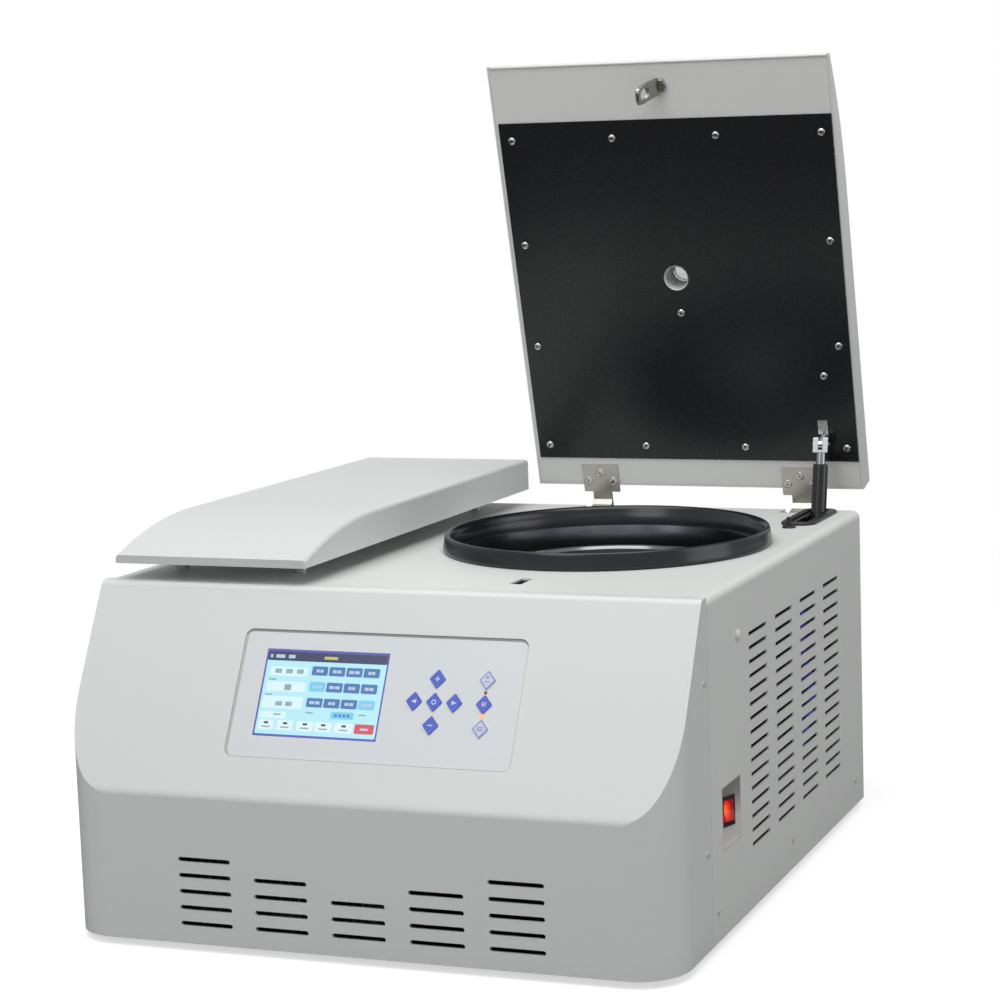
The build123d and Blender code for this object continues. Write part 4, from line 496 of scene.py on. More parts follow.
def screen_tiles():
    """Left, top, right, bottom, layer and finish of everything drawn on the screen."""
    tiles = [(0.012, 0.024, 0.988, 0.976, 1, FIELD), (0.012, 0.024, 0.988, 0.13, 2, TITLE)]
    tiles += [(0.05, 0.2, 0.36, 0.305, 2, READOUT), (0.04, 0.37, 0.36, 0.485, 2, READOUT)]
    tiles += [(0.03, 0.54, 0.36, 0.68, 2, READOUT), (0.03, 0.72, 0.24, 0.795, 2, READOUT)]
    for row, (top, bottom) in enumerate(((0.18, 0.285), (0.36, 0.47), (0.545, 0.65))):
        for column in range(4):
            left = 0.392 + column * 0.1405
            bright = (row, column) in ((1, 0), (2, 3))
            tiles.append((left, top, left + 0.13, bottom, 2, BUTTON_LIT if bright else BUTTON))
            mark = 0.03 + 0.008 * ((row + column) % 3)
            middle = (top + bottom) / 2
            for side in (-0.5, 0.5):
                start = left + 0.065 + side * mark - mark * 0.42
                tiles.append((start, middle - 0.017, start + mark * 0.84, middle + 0.017, 3, PALE))
    tiles.append((0.606, 0.69, 0.79, 0.77, 2, BUTTON_LIT))
    for k in range(4):
        tiles.append((0.635 + k * 0.034, 0.715, 0.657 + k * 0.034, 0.745, 3, BUTTON))
    for left, right in ((0.03, 0.156), (0.185, 0.315), (0.345, 0.48), (0.495, 0.63), (0.655, 0.8)):
        tiles.append((left, 0.815, right, 0.925, 2, TILE))
        middle = (left + right) / 2
        tiles.append((middle - 0.018, 0.835, middle + 0.018, 0.86, 3, TITLE))
        tiles.append((middle - 0.035, 0.885, middle + 0.035, 0.902, 3, GREY))
    tiles.append((0.815, 0.815, 0.971, 0.925, 2, STOP))
    tiles.append((0.86, 0.86, 0.925, 0.885, 3, PALE))
    for left, right in ((0.03, 0.05), (0.075, 0.15), (0.18, 0.235)):
        tiles.append((left, 0.06, right, 0.1, 3, PALE))
    tiles.append((0.475, 0.065, 0.585, 0.097, 3, YELLOW))
    for top, left in READOUT_MARKS:
        tiles.append((left, top, left + 0.055, top + 0.05, 3, GREY))
    for top, left in CAPTION_MARKS:
        tiles.append((left, top, left + 0.06, top + 0.018, 3, GREY))
    return tiles


def draw_screen(work):
    for left, top, right, bottom, layer, finish in screen_tiles():
        radius = min(0.012, min(right - left, bottom - top) * 0.12)
        outline = rounded_box(left, top, right, bottom, radius)
        prism(work, outline, screen_place, (layer - 1) * LAYER, layer * LAYER, finish)


piece("screen_picture", draw_screen, screen_paints, "cabinet")


# The keys and indicators
# Domed diamond key caps in translucent blue, two of them clear with a blue outline, each with its
# sign. Beside them one small dark indicator and one lit orange.
KEY_FACE = PANEL_FACE + 0.001
KEY_HALF = (0.0086, 0.0099)
PAD = (0.069, 0.1143)
PAD_STEP = (0.0215, 0.0237)
COLUMN = (0.122, 0.0247)
key_places = {
    "key_plus": (PAD[0], PAD[1] - PAD_STEP[1]),
    "key_left": (PAD[0] - PAD_STEP[0], PAD[1]),
    "key_enter": PAD,
    "key_right": (PAD[0] + PAD_STEP[0], PAD[1]),
    "key_minus": (PAD[0], PAD[1] + PAD_STEP[1]),
    "key_program": (COLUMN[0], PAD[1] - COLUMN[1]),
    "key_start": (COLUMN[0], PAD[1]),
    "key_stop": (COLUMN[0], PAD[1] + COLUMN[1]),
}
key_blue = surface("key_blue", tone(72, 98, 206), 0.28, grain=500.0, bump=0.02, fleck=0.05)
key_clear = surface("key_clear", tone(208, 214, 238), 0.3, grain=500.0, bump=0.02, fleck=0.03)
sign_white = surface("sign_white", tone(214, 222, 246), 0.4, grain=900.0, bump=0.02, fleck=0.02)
sign_blue = surface("sign_blue", tone(104, 122, 200), 0.4, grain=900.0, bump=0.02, fleck=0.02)
dress(key_blue, "key_plus", "key_left", "key_enter", "key_right", "key_minus", "key_start")
dress(key_clear, "key_program", "key_stop")


def bar(x0, y0, x1, y1):
    return [(x0, y0), (x1, y0), (x1, y1), (x0, y1)]


def ring_of(outline_at, steps, outer, inner):
    """Quadrilaterals that make a ring between two sizes of one outline."""
    quads = []
    for k in range(steps):
        outside = [outline_at(outer, k), outline_at(outer, k + 1)]
        quads.append(outside + [outline_at(inner, k + 1), outline_at(inner, k)])
    return quads


def diamond_at(size, k):
    corners = ((KEY_HALF[0], 0), (0, KEY_HALF[1]), (-KEY_HALF[0], 0), (0, -KEY_HALF[1]))
    x, y = corners[k % 4]
    return (x * size, y * size)


def circle_at(size, k):
    return (size * math.cos(math.pi * k / 8), size * math.sin(math.pi * k / 8))


ARROW = [(-0.0026, -0.0022), (0.003, 0.0), (-0.0026, 0.0022)]
key_signs = {
    "key_plus": [bar(-0.0026, -0.0006, 0.0026, 0.0006), bar(-0.0006, -0.0026, 0.0006, 0.0026)],
    "key_minus": [bar(-0.0026, -0.0006, 0.0026, 0.0006)],
    "key_left": [[(-x, y) for x, y in ARROW]],
    "key_right": [ARROW],
    "key_enter": ring_of(circle_at, 16, 0.0026, 0.0016),
    "key_start": [bar(-0.0026, 0.0012, 0.0026, 0.002), bar(-0.0026, -0.0004, 0.0026, 0.0004),
                  bar(-0.0018, -0.002, 0.0018, -0.0012)],
    "key_program": [[(-0.0012, 0.0014), (0.0018, 0.003), (-0.0012, 0.0044)],
                    bar(-0.003, -0.002, 0.003, -0.0013)],
    "key_stop": [bar(-0.003, 0.0012, 0.003, 0.0018), bar(-0.003, -0.0004, 0.003, 0.0002),
                 bar(-0.003, -0.002, 0.003, -0.0014)],
}
for key_name, (key_across, key_down) in key_places.items():
    clear = key_name in ("key_program", "key_stop")
    sign_finish = sign_blue if clear else sign_white

    def draw_sign(work):
        def place(x, y, out):
            return panel_point(key_across + x, key_down - y, KEY_FACE + out)
        for shape in key_signs[key_name]:
            prism(work, shape, place, 0.00001, 0.00011)
        if clear:
            for shape in ring_of(diamond_at, 4, 0.93, 0.82):
                prism(work, shape, place, 0.00001, 0.00011)

    piece(key_name.replace("key_", "sign_"), draw_sign, [sign_finish], key_name)

LAMP_OFF_DOWN = 0.1023
LAMP_LIT_DOWN = 0.1259
LAMP_PROUD = 0.0004
dark_lamp = surface("dark_lamp", tone(92, 84, 88), 0.3, grain=600.0, bump=0.01, fleck=0.05)
amber_lamp = lit("amber_lamp", tone(255, 160, 96), 1.5)
dress(amber_lamp, "status_leds")


def draw_dark_lamp(work):
    def place(x, y, out):
        return panel_point(COLUMN[0] + x, LAMP_OFF_DOWN - y, PANEL_FACE + LAMP_PROUD + out)
    prism(work, [circle_at(0.0019, k) for k in range(16)], place, 0.0, 0.0001)


piece("indicator_off", draw_dark_lamp, [dark_lamp], "cabinet")
# A pale warm ring round the lit indicator is painted glow: the lamp's light spread on the panel.
painted_glow_finish = surface("lamp_painted_glow", tone(250, 220, 196), 0.5, grain=900.0, bump=0.01, fleck=0.01)


def draw_painted_glow(work):
    def place(x, y, out):
        return panel_point(COLUMN[0] + x, LAMP_LIT_DOWN - y, PANEL_FACE + out)
    for shape in ring_of(circle_at, 16, 0.0036, 0.002):
        prism(work, shape, place, 0.00001, 0.00006)


piece("indicator_painted_glow", draw_painted_glow, [painted_glow_finish], "cabinet")


# The lid liner and its screws
# A black plastic sheet under the lid, held by pan-head screws with crossed slots.
# The hinge leaves take flat countersunk screws of the same make.
LID_OPEN = math.radians(76)
PIN = Vector((0, 0.346, 0.337))
lid_turn = Matrix.Translation(PIN) @ Matrix.Rotation(-LID_OPEN, 4, "X") @ Matrix.Translation(-PIN)
liner_black = surface("liner_black", tone(21, 22, 25), 0.28, grain=420.0, bump=0.03, fleck=0.12)
dress(liner_black, "lid_liner")
zinc_colour = tone(206, 206, 204)
screw_steel = surface("screw_steel", zinc_colour, 0.24, metal=1.0, grain=900.0, bump=0.03, fleck=0.06)
# The crossed slots are flat dark marks: painted shade in the recesses of the heads.
slot_painted_shade = surface("screw_slot_shade", tone(46, 46, 48), 0.6, metal=0.6, grain=900.0, bump=0.03, fleck=0.1)
dress(screw_steel, "lid_screws")
dull_zinc = surface("dull_zinc", zinc_colour, 0.5, metal=0.25, grain=900.0, bump=0.03, fleck=0.05)
dress(dull_zinc, "panel_screws")


def turned(work, profile, place, steps=24, finish=0):
    """A closed turned form: profile gives radius and height, starting and ending on the axis."""
    rings = []
    for radius, height in profile:
        if radius == 0:
            rings.append([work.verts.new(place(0, 0, height))])
        else:
            ring = []
            for k in range(steps):
                angle = 2 * math.pi * k / steps
                u, v = radius * math.cos(angle), radius * math.sin(angle)
                ring.append(work.verts.new(place(u, v, height)))
            rings.append(ring)
    for low, high in zip(rings, rings[1:]):
        for k in range(steps):
            after = (k + 1) % steps
            corners = [low[k % len(low)], low[after % len(low)]]
            corners += [high[after % len(high)], high[k % len(high)]]
            corners = list(dict.fromkeys(corners))
            if len(corners) > 2:
                work.faces.new(corners).material_index = finish


def cross(work, size, width, place, low, high, finish):
    """A crossed slot, drawn as one closed twelve-sided prism that carries the slot's painted shade."""
    w = width / 2
    outline = [(w, w), (w, size), (-w, size), (-w, w), (-size, w), (-size, -w),
               (-w, -w), (-w, -size), (w, -size), (w, -w), (size, -w), (size, w)]
    prism(work, outline, place, low, high, finish)


LINER_UNDER = 0.3775
liner_screw_places = [(x, y) for x in (-0.064, 0.062, 0.189, 0.315) for y in (0.258, 0.13, 0.002, -0.126)
                      if x in (-0.064, 0.315) or y in (0.258, -0.126)]
liner_screw_places += [(0.125, 0.088), (0.294, 0.167)]
PAN_HEAD = [(0, 0), (0.0047, 0), (0.0047, 0.0007), (0.0042, 0.0015),
            (0.0032, 0.0021), (0.0013, 0.0024), (0, 0.0024)]
LEAF_HEAD = [(0, 0), (0.0052, 0), (0.0052, 0.0003), (0.0046, 0.0006), (0.0024, 0.0008), (0, 0.0008)]
LEAF_UNDER = 0.376
HINGE_MIDS = (-0.002, 0.254)
HINGE_MID_Y = 0.3015
LEAF_SCREWS = ((-0.016, 0.003), (0, -0.007), (0.016, 0.003))


def screw_head(work, x, y, z, spin, profile, socket, slot):
    """A screw head under the closed lid, carried to the open lid; it stands downwards from z."""
    def place(u, v, h):
        spun_x = u * math.cos(spin) - v * math.sin(spin)
        spun_y = u * math.sin(spin) + v * math.cos(spin)
        return lid_turn @ Vector((x + spun_x, y + spun_y, z - h))
    turned(work, profile, place)
    top = profile[-1][1]
    cross(work, socket, slot, place, top - 0.0003, top + 0.0001, 1)


def draw_lid_screws(work):
    for index, (x, y) in enumerate(liner_screw_places):
        screw_head(work, x, y, LINER_UNDER, 0.7 * index, PAN_HEAD, 0.0024, 0.0011)
    for middle in HINGE_MIDS:
        for index, (dx, dy) in enumerate(LEAF_SCREWS):
            x, y = middle + dx, HINGE_MID_Y + dy
            screw_head(work, x, y, LEAF_UNDER, 0.5 + index, LEAF_HEAD, 0.0024, 0.0007)


screw_finishes = [screw_steel, slot_painted_shade]
lid_screws = piece("lid_screw_heads", draw_lid_screws, screw_finishes, "lid", smooth=True)
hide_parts("lid_screws")


# The lid's rolled front edge
# The lid's cover is hemmed along its front: the fold is a round bead that catches the light.
HEM_X = (-0.0815, 0.3275)
HEM_MID = (-0.2134, 0.3790)
HEM_RADIUS = 0.0016


def draw_hem(work):
    def place(u, v, x):
        return lid_turn @ Vector((x, HEM_MID[0] + u, HEM_MID[1] + v))
    bead = [(0, HEM_X[0]), (HEM_RADIUS * 0.7, HEM_X[0]), (HEM_RADIUS, HEM_X[0] + HEM_RADIUS * 0.4)]
    bead += [(HEM_RADIUS, HEM_X[1] - HEM_RADIUS * 0.4), (HEM_RADIUS * 0.7, HEM_X[1]), (0, HEM_X[1])]
    turned(work, bead, place, steps=12)


piece("lid_hem", draw_hem, [powder_coat], "lid", smooth=True)


# The sight port
# A threaded white bush through the lid with a clear glass; its thread shows as fine rings.
bush_white = surface("bush_white", tone(206, 208, 208), 0.35, grain=700.0, bump=0.03, fleck=0.03)
BUSH_UNDER = 0.3775
BUSH_STEP = 0.4060
BUSH_TOP = 0.4145
PORT_MID = Vector((0.123, 0.045, 0))
THREAD_PITCH = 0.0068
BUSH_OUTSIDE = 0.0152
THREAD_ROOT = 0.0149
THREAD_CREST = 0.0136
GLASS_SEAT = 0.0121
FLANGE_RADIUS = 0.0188
FLANGE_UNDER = COVER_TOP + 0.0001
thread_rows = int((BUSH_STEP - BUSH_UNDER) / THREAD_PITCH)
bush_profile = [(BUSH_OUTSIDE, BUSH_UNDER), (0.0151, BUSH_UNDER - 0.0003), (THREAD_ROOT, BUSH_UNDER)]
for row in range(thread_rows):
    bush_profile.append((THREAD_CREST, BUSH_UNDER + (row + 0.25) * THREAD_PITCH))
    bush_profile.append((THREAD_ROOT, BUSH_UNDER + (row + 1) * THREAD_PITCH))
bush_profile += [(0.0148, BUSH_STEP), (GLASS_SEAT, BUSH_STEP), (GLASS_SEAT, BUSH_TOP)]
bush_profile += [(FLANGE_RADIUS, BUSH_TOP), (FLANGE_RADIUS, FLANGE_UNDER)]
bush_profile += [(BUSH_OUTSIDE, FLANGE_UNDER), (BUSH_OUTSIDE, BUSH_UNDER)]


def draw_bush(work):
    def place(x, y, z):
        return lid_turn @ (PORT_MID + Vector((x, y, z)))
    turned(work, bush_profile, place, steps=48)
    bmesh.ops.remove_doubles(work, verts=work.verts, dist=0.000001)


bush = piece("port_bush", draw_bush, [bush_white], "lid")
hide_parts("port_insert")
clear_glass = surface("clear_glass", tone(196, 199, 199), 0.12, grain=40.0, bump=0.01, fleck=0.01)
clear_glass.node_tree.nodes["Principled BSDF"].inputs["Transmission Weight"].default_value = 1.0
clear_glass.node_tree.nodes["Principled BSDF"].inputs["IOR"].default_value = 1.49
dress(clear_glass, "port_glass")


# The latch striker and the lid's hinges
# Pressed and plated steel: a hook with an eye, and two gooseneck arms on screwed leaves.
nickel = surface("satin_nickel", tone(190, 188, 180), 0.34, metal=0.85, grain=500.0, bump=0.05, fleck=0.05)
dress(nickel, "hinge_arms", "hinge_brackets", "hinge_pins")
plated_colour = tone(196, 196, 196)
bright_steel = surface("bright_steel", plated_colour, 0.22, metal=1.0, grain=400.0, bump=0.03, fleck=0.07)
dress(bright_steel, "lock_bolt", "drive_shaft", "rotor_nut", "strut_rod", "strut_bracket")
hook_colour = tone(158, 157, 150)
hook_steel = surface("hook_steel", hook_colour, 0.28, metal=0.95, grain=400.0, bump=0.04, fleck=0.08)
HOOK_FOOT = (0.127, -0.186)
HOOK_CRANK = (0.42, 0.245)
HOOK_BEND = 0.02
HOOK_SET_BACK = 0.1
HOOK_ROOT = 0.379
HOOK_LENGTH = 0.042
HOOK_HALF = 0.0103
HOOK_THICK = 0.0022
HOOK_CORNER = 0.93
EYE_AT = 0.0295
EYE_HALF = (0.0066, 0.0088)
NUT = [(0, 0), (0.0088, 0), (0.0088, 0.004), (0.0078, 0.0048), (0, 0.0048)]


def hook_point(across, down, out):
    """A point of the closed hook: it leans sideways from its nut to the slot, less below its bend."""
    steep = min(down, HOOK_BEND)
    sideways = HOOK_CRANK[0] * steep + HOOK_CRANK[1] * (down - steep)
    x = HOOK_FOOT[0] - sideways + out
    y = HOOK_FOOT[1] + HOOK_SET_BACK * down + across
    return Vector((x, y, HOOK_ROOT - down))


def draw_hook(work):
    outer, eye = [], []
    for k in range(32):
        angle = 2 * math.pi * k / 32
        u, v = math.cos(angle), math.sin(angle)
        reach = 1 / max(abs(u) / HOOK_HALF, v / (HOOK_LENGTH - EYE_AT), -v / EYE_AT, 1e-6)
        corner = HOOK_CORNER if v > 0.5 and abs(u) > 0.5 else 1.0
        outer.append((u * reach * corner, EYE_AT + v * reach * corner))
        eye.append((EYE_HALF[0] * u, EYE_AT + EYE_HALF[1] * v))
    sides = []
    for out in (-HOOK_THICK, HOOK_THICK):
        rows = []
        for ring in (outer, eye):
            rows.append([work.verts.new(lid_turn @ hook_point(across, down, out)) for across, down in ring])
        sides.append(rows)
    for k in range(32):
        after = (k + 1) % 32
        for rows in sides:
            work.faces.new((rows[0][k], rows[0][after], rows[1][after], rows[1][k]))
        for ring in (0, 1):
            near, far = sides[0][ring], sides[1][ring]
            work.faces.new((near[k], near[after], far[after], far[k]))

    def place(x, y, down):
        return lid_turn @ Vector((HOOK_FOOT[0] + x, HOOK_FOOT[1] + y, HOOK_ROOT - down))
    turned(work, NUT, place, steps=6)


hook = piece("striker_hook", draw_hook, [hook_steel], "lid")
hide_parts("striker")
soften = hook.modifiers.new("soften", "BEVEL")
soften.width = 0.0006
soften.segments = 2
lock_steel = surface("lock_steel", tone(140, 141, 144), 0.4, metal=0.9, grain=300.0, bump=0.04, fleck=0.08)
dress(lock_steel, "lid_lock")


# The gas spring
# A black painted tube with a plated neck and clevis, in a black trimmed slot of the deck.
STRUT_TOP = Vector((0.288, 0.3475, 0.4384))
STRUT_DOWN = Vector((0, -0.2239, -0.97461))
STRUT_NECK = 0.025


def two_finishes(name, near, far, origin, direction, split):
    """One finish up to a distance along a line and another past it."""
    material = far.copy()
    material.name = name
    nodes = material.node_tree.nodes
    links = material.node_tree.links
    shader = nodes["Principled BSDF"]
    place = nodes.new("ShaderNodeTexCoord")
    shift = nodes.new("ShaderNodeVectorMath")
    shift.operation = "SUBTRACT"
    shift.inputs[1].default_value = origin
    along = nodes.new("ShaderNodeVectorMath")
    along.operation = "DOT_PRODUCT"
    along.inputs[1].default_value = direction
    past = nodes.new("ShaderNodeMath")
    past.operation = "GREATER_THAN"
    past.inputs[1].default_value = split
    links.new(place.outputs["Object"], shift.inputs[0])
    links.new(shift.outputs["Vector"], along.inputs[0])
    links.new(along.outputs["Value"], past.inputs[0])
    ramp = nodes["Color Ramp"]
    mixer = nodes.new("ShaderNodeMix")
    mixer.data_type = "RGBA"
    mixer.inputs["A"].default_value = near
    links.new(past.outputs["Value"], mixer.inputs["Factor"])
    links.new(ramp.outputs["Color"], mixer.inputs["B"])
    links.new(mixer.outputs["Result"], shader.inputs["Base Color"])
    plated = nodes.new("ShaderNodeMath")
    plated.operation = "SUBTRACT"
    plated.inputs[0].default_value = 1.0
    links.new(past.outputs["Value"], plated.inputs[1])
    links.new(plated.outputs["Value"], shader.inputs["Metallic"])
    return material


black_paint = surface("black_paint", tone(26, 27, 31), 0.2, grain=900.0, bump=0.03, fleck=0.08)
neck_colour = tone(150, 152, 153)
strut_finish = two_finishes("gas_spring", neck_colour, black_paint, STRUT_TOP, STRUT_DOWN, STRUT_NECK)
dress(strut_finish, "strut_cylinder")
black_trim = surface("black_trim", tone(32, 32, 34), 0.42, grain=1100.0, bump=0.06, fleck=0.08)
dress(black_trim, "lid_stop", "switch_frame", "power_inlet", "fan_shroud", "condenser_fan")
BOOT_MID_X = 0.287
BOOT_INSIDE = 0.0126
BOOT_FRONT = 0.24
BOOT_BACK = 0.344
BOOT_LOW = 0.332
BOOT_HIGH = 0.3558
BOOT_WALL = 0.0008


def draw_boot(work):
    x0, x1 = BOOT_MID_X - BOOT_INSIDE, BOOT_MID_X + BOOT_INSIDE
    walls = [
        bar(x0 - BOOT_WALL, BOOT_FRONT, x0, BOOT_BACK),
        bar(x1, BOOT_FRONT, x1 + BOOT_WALL, BOOT_BACK),
        bar(x0, BOOT_FRONT - BOOT_WALL, x1, BOOT_FRONT),
        bar(x0, BOOT_BACK, x1, BOOT_BACK + BOOT_WALL),
    ]
    for outline in walls:
        prism(work, outline, lambda x, y, z: Vector((x, y, z)), BOOT_LOW, BOOT_HIGH)


piece("boot_skirt", draw_boot, [black_trim], "cabinet")
TRIM_LEFT = 0.2682
reshaped("boot_trim", "boot_plate", "cabinet", black_trim,
         lambda x, y, z: (max(x, TRIM_LEFT), y, z))


# The chamber
# A flared collar of blue-black rubber round a brushed steel bowl, with the rotor in it.
CHAMBER = Vector((0.12, 0.06, 0))
seal_rubber = surface("seal_rubber", tone(23, 26, 32), 0.23, grain=350.0, bump=0.03, fleck=0.08)
SEAL_PROFILE = [
    (0.1602, 0.3300), (0.1697, 0.3300), (0.1697, 0.3445), (0.1697, 0.3581), (0.1800, 0.3581),
    (0.1817, 0.3592), (0.1820, 0.3606), (0.1818, 0.3625), (0.1810, 0.3665), (0.1803, 0.3705),
    (0.1799, 0.3740), (0.1795, 0.3758), (0.1786, 0.3769), (0.1774, 0.3773), (0.1758, 0.3768),
    (0.1744, 0.3757), (0.1734, 0.3741), (0.1727, 0.3722), (0.1722, 0.3704), (0.1716, 0.3688),
    (0.1708, 0.3672), (0.1702, 0.3656), (0.1698, 0.3640), (0.1692, 0.3600), (0.1689, 0.3555),
    (0.1686, 0.3510), (0.1682, 0.3450), (0.1676, 0.3390), (0.1664, 0.3350), (0.1640, 0.3318),
    (0.1602, 0.3306),
]


def draw_seal(work):
    def place(x, y, z):
        return Vector((CHAMBER.x + x, CHAMBER.y + y, z))
    turned(work, SEAL_PROFILE + SEAL_PROFILE[:1], place, steps=144)
    bmesh.ops.remove_doubles(work, verts=work.verts, dist=0.000001)


seal = piece("seal_collar", draw_seal, [seal_rubber], "cabinet", smooth=True)
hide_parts("chamber_seal")


def brushed_round(name, colour, rough):
    """Steel spun on a lathe, brushed in rings about the chamber's axis."""
    material = surface(name, colour, rough, metal=1.0, grain=1.0, bump=0.06, fleck=0.1)
    nodes = material.node_tree.nodes
    links = material.node_tree.links
    place = nodes.new("ShaderNodeTexCoord")
    centred = nodes.new("ShaderNodeVectorMath")
    centred.operation = "SUBTRACT"
    centred.inputs[1].default_value = CHAMBER
    flat = nodes.new("ShaderNodeVectorMath")
    flat.operation = "MULTIPLY"
    flat.inputs[1].default_value = (1, 1, 0)
    radius = nodes.new("ShaderNodeVectorMath")
    radius.operation = "LENGTH"
    apart = nodes.new("ShaderNodeSeparateXYZ")
    join = nodes.new("ShaderNodeCombineXYZ")
    links.new(place.outputs["Object"], centred.inputs[0])
    links.new(centred.outputs["Vector"], flat.inputs[0])
    links.new(centred.outputs["Vector"], apart.inputs[0])
    links.new(flat.outputs["Vector"], radius.inputs[0])
    links.new(radius.outputs["Value"], join.inputs["X"])
    links.new(apart.outputs["Z"], join.inputs["Y"])
    links.new(join.outputs["Vector"], nodes["Noise Texture"].inputs["Vector"])
    nodes["Noise Texture"].inputs["Scale"].default_value = 900.0
    return material


bowl_steel = brushed_round("bowl_steel", tone(150, 152, 155), 0.2)
dress(bowl_steel, "chamber_bowl")
rotor_metal = brushed_round("rotor_metal", tone(126, 128, 132), 0.2)
dress(rotor_metal, "rotor")


# Inside the cabinet
# Grey foam round the bowl, a ribbed motor case, a black compressor, fins, and bundled blue wires
# that show through the slots of the right side. A single red lead runs behind the front slots.
foam = surface("grey_foam", tone(86, 88, 90), 0.9, grain=260.0, bump=0.3, fleck=0.2)
dress(foam, "foam_jacket")
cast_alloy = surface("cast_alloy", tone(150, 152, 155), 0.45, metal=0.8, grain=300.0, bump=0.1, fleck=0.08)
dress(cast_alloy, "drive_motor", "drive_inverter", "condenser")
copper = surface("copper_tube", tone(186, 116, 78), 0.3, metal=1.0, grain=260.0, bump=0.03, fleck=0.1)
dress(copper, "evaporator_coil")
shell_black = surface("shell_black", tone(28, 28, 30), 0.3, grain=300.0, bump=0.04, fleck=0.1)
dress(shell_black, "compressor")
wire_blue = surface("wire_blue", tone(66, 92, 240), 0.35, grain=500.0, bump=0.02, fleck=0.06)
wire_red = surface("wire_red", tone(206, 40, 52), 0.35, grain=500.0, bump=0.02, fleck=0.06)
WIRE_RADIUS = 0.0021
LOOM_X = 0.3248
LOOM_PATH = ((0.118, 0.292), (0.120, 0.268), (0.119, 0.244), (0.132, 0.216), (0.160, 0.196), (0.166, 0.180),
             (0.148, 0.160), (0.122, 0.142), (0.104, 0.126))
LOOM_STEP = (0.0006, 0.0062, 0.0015)
LEAD_PATH = ((0.105, -0.336, 0.050), (0.128, -0.343, 0.047), (0.150, -0.3455, 0.0455),
             (0.175, -0.3455, 0.0450), (0.200, -0.3455, 0.0450), (0.222, -0.342, 0.047),
             (0.236, -0.330, 0.052))


def wire(name, route, material):
    """One insulated wire along a smooth route, held by what it runs through."""
    curve = bpy.data.curves.new(name, "CURVE")
    curve.dimensions = "3D"
    curve.bevel_depth = WIRE_RADIUS
    curve.bevel_resolution = 4
    spline = curve.splines.new("NURBS")
    spline.points.add(len(route) - 1)
    for point, place in zip(spline.points, route):
        point.co = (*place, 1.0)
    spline.order_u = 3
    spline.use_endpoint_u = True
    curve.materials.append(material)
    thing = bpy.data.objects.new(name, curve)
    bpy.context.collection.objects.link(thing)
    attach(thing, "cabinet")
    return thing


for index in range(4):
    inward, forward, drop = (step * index for step in LOOM_STEP)
    route = [(LOOM_X - inward, y - forward, z - drop) for y, z in LOOM_PATH]
    wire(f"loom_wire_{index + 1}", route, wire_blue)
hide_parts("wiring_loom")
wire("red_lead", LEAD_PATH, wire_red)


# The dark mats behind the rear and left slots
# Pleated mats of grey felt held against the sheet metal: dark sheets that stand for the shade inside the
# cabinet.
REAR_MAT_X = (-0.054, 0.294)
REAR_MAT_Z = (0.066, 0.196)
REAR_MAT_Y = 0.3515
LEFT_MAT_Y = (-0.116, 0.266)
LEFT_MAT_Z = (0.07, 0.216)
LEFT_MAT_X = -0.3275
MAT_DEPTH = 0.007
MAT_FELT = 0.002
PLEATS = 28
shade_felt = surface("shade_felt_finish", tone(74, 76, 78), 0.95, grain=500.0, bump=0.3, fleck=0.25)


def pleated(start, end):
    """Outline of a mat along a wall: how far along, and how deep its folds stand off the wall."""
    step = (end - start) / (2 * PLEATS)
    folds = [(start + k * step, MAT_DEPTH if k % 2 else MAT_FELT) for k in range(2 * PLEATS + 1)]
    return folds + [(end, 0), (start, 0)]


def draw_rear_shade_mat(work):
    def place(along, depth, z):
        return Vector((along, REAR_MAT_Y - depth, z))
    prism(work, pleated(*REAR_MAT_X), place, *REAR_MAT_Z)


def draw_left_shade_mat(work):
    def place(along, depth, z):
        return Vector((LEFT_MAT_X + depth, along, z))
    prism(work, pleated(*LEFT_MAT_Y), place, *LEFT_MAT_Z)


piece("rear_shade_mat", draw_rear_shade_mat, [shade_felt], "cabinet")
piece("left_shade_mat", draw_left_shade_mat, [shade_felt], "cabinet")
white_nylon = surface("white_nylon", tone(232, 233, 230), 0.3, grain=700.0, bump=0.02, fleck=0.02)
dress(white_nylon, "wire_clips")


# The emergency release plug
# A domed white nylon plug in the right side. Pulled out, it uncovers the lid's manual release.
PLUG_MID = Vector((0.33, -0.142, 0.3027))
PLUG_DOME = [(0, -0.0138), (0.0041, -0.0138), (0.0041, 0.0001), (0.0058, 0.0001), (0.0058, 0.0012),
             (0.0052, 0.0024), (0.0038, 0.0033), (0.0018, 0.0037), (0, 0.0038)]


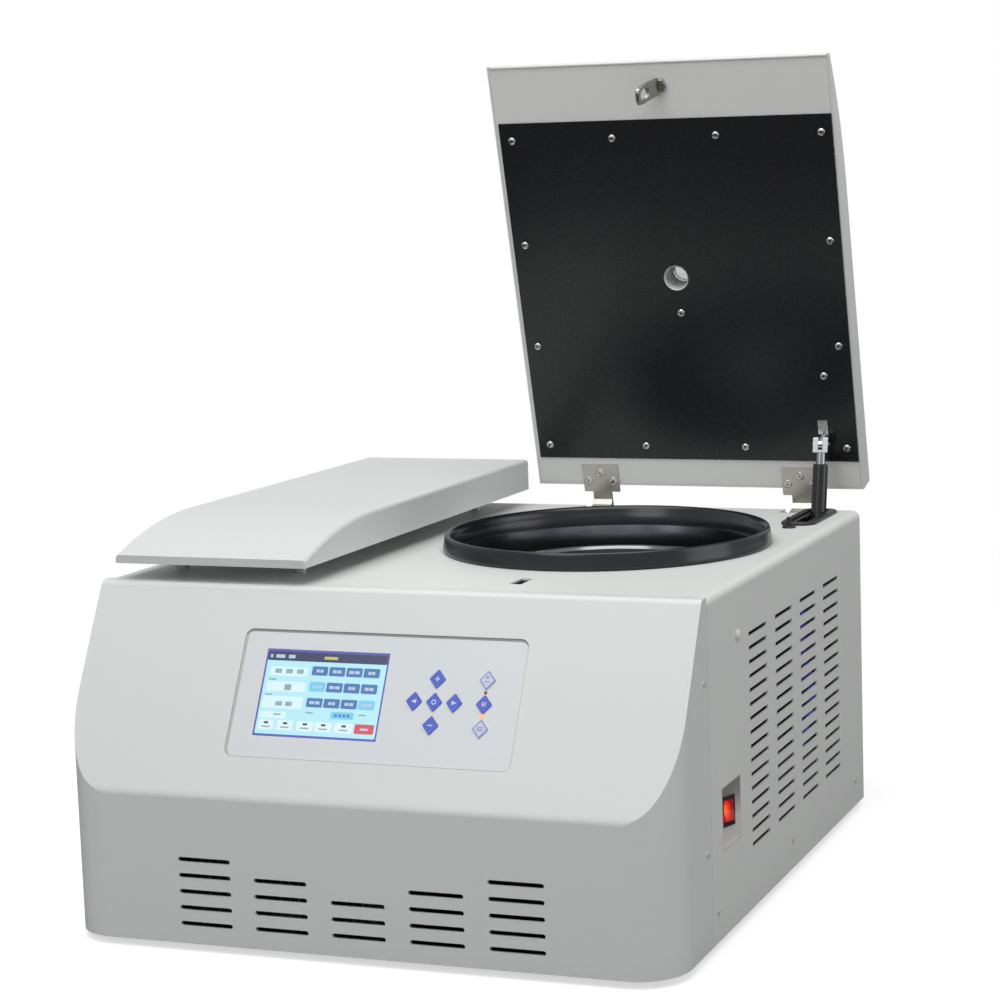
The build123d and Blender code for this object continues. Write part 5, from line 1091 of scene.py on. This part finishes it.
def draw_plug(work):
    def place(u, v, out):
        return PLUG_MID + Vector((out, u, v))
    turned(work, PLUG_DOME, place, steps=32)


plug = piece("plug_dome", draw_plug, [white_nylon], "release_plug", smooth=True)
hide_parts("release_plug")


# The power switch
# A lit red rocker in a black bezel, on the ramp of its pocket. Its colour runs from orange over the
# lamp inside to dark red at the edges.
ROCKER_LAMP = (0.3165, -0.1725, 0.1285)
ROCKER_HOT = 0.0045
ROCKER_COOL = 0.0145
rocker_red = bpy.data.materials.new("rocker_red")
rocker_red.use_nodes = True
rocker_nodes = rocker_red.node_tree.nodes
rocker_links = rocker_red.node_tree.links
rocker_shader = rocker_nodes["Principled BSDF"]
rocker_place = rocker_nodes.new("ShaderNodeTexCoord")
rocker_lamp = rocker_nodes.new("ShaderNodeVectorMath")
rocker_lamp.operation = "DISTANCE"
rocker_lamp.inputs[1].default_value = ROCKER_LAMP
rocker_spread = rocker_nodes.new("ShaderNodeMapRange")
rocker_spread.inputs["From Min"].default_value = ROCKER_HOT
rocker_spread.inputs["From Max"].default_value = ROCKER_COOL
rocker_shade = rocker_nodes.new("ShaderNodeValToRGB")
rocker_shade.color_ramp.elements[0].color = tone(255, 176, 60)
rocker_shade.color_ramp.elements[0].position = 0.0
rocker_shade.color_ramp.elements[1].color = tone(118, 14, 12)
rocker_shade.color_ramp.elements[1].position = 1.0
rocker_shade.color_ramp.elements.new(0.22).color = tone(250, 96, 34)
rocker_shade.color_ramp.elements.new(0.5).color = tone(214, 40, 22)
rocker_links.new(rocker_place.outputs["Object"], rocker_lamp.inputs[0])
rocker_links.new(rocker_lamp.outputs["Value"], rocker_spread.inputs["Value"])
rocker_links.new(rocker_spread.outputs["Result"], rocker_shade.inputs["Fac"])
rocker_links.new(rocker_shade.outputs["Color"], rocker_shader.inputs["Base Color"])
rocker_links.new(rocker_shade.outputs["Color"], rocker_shader.inputs["Emission Color"])
rocker_shader.inputs["Emission Strength"].default_value = 0.9
rocker_shader.inputs["Roughness"].default_value = 0.25
dress(rocker_red, "power_rocker")
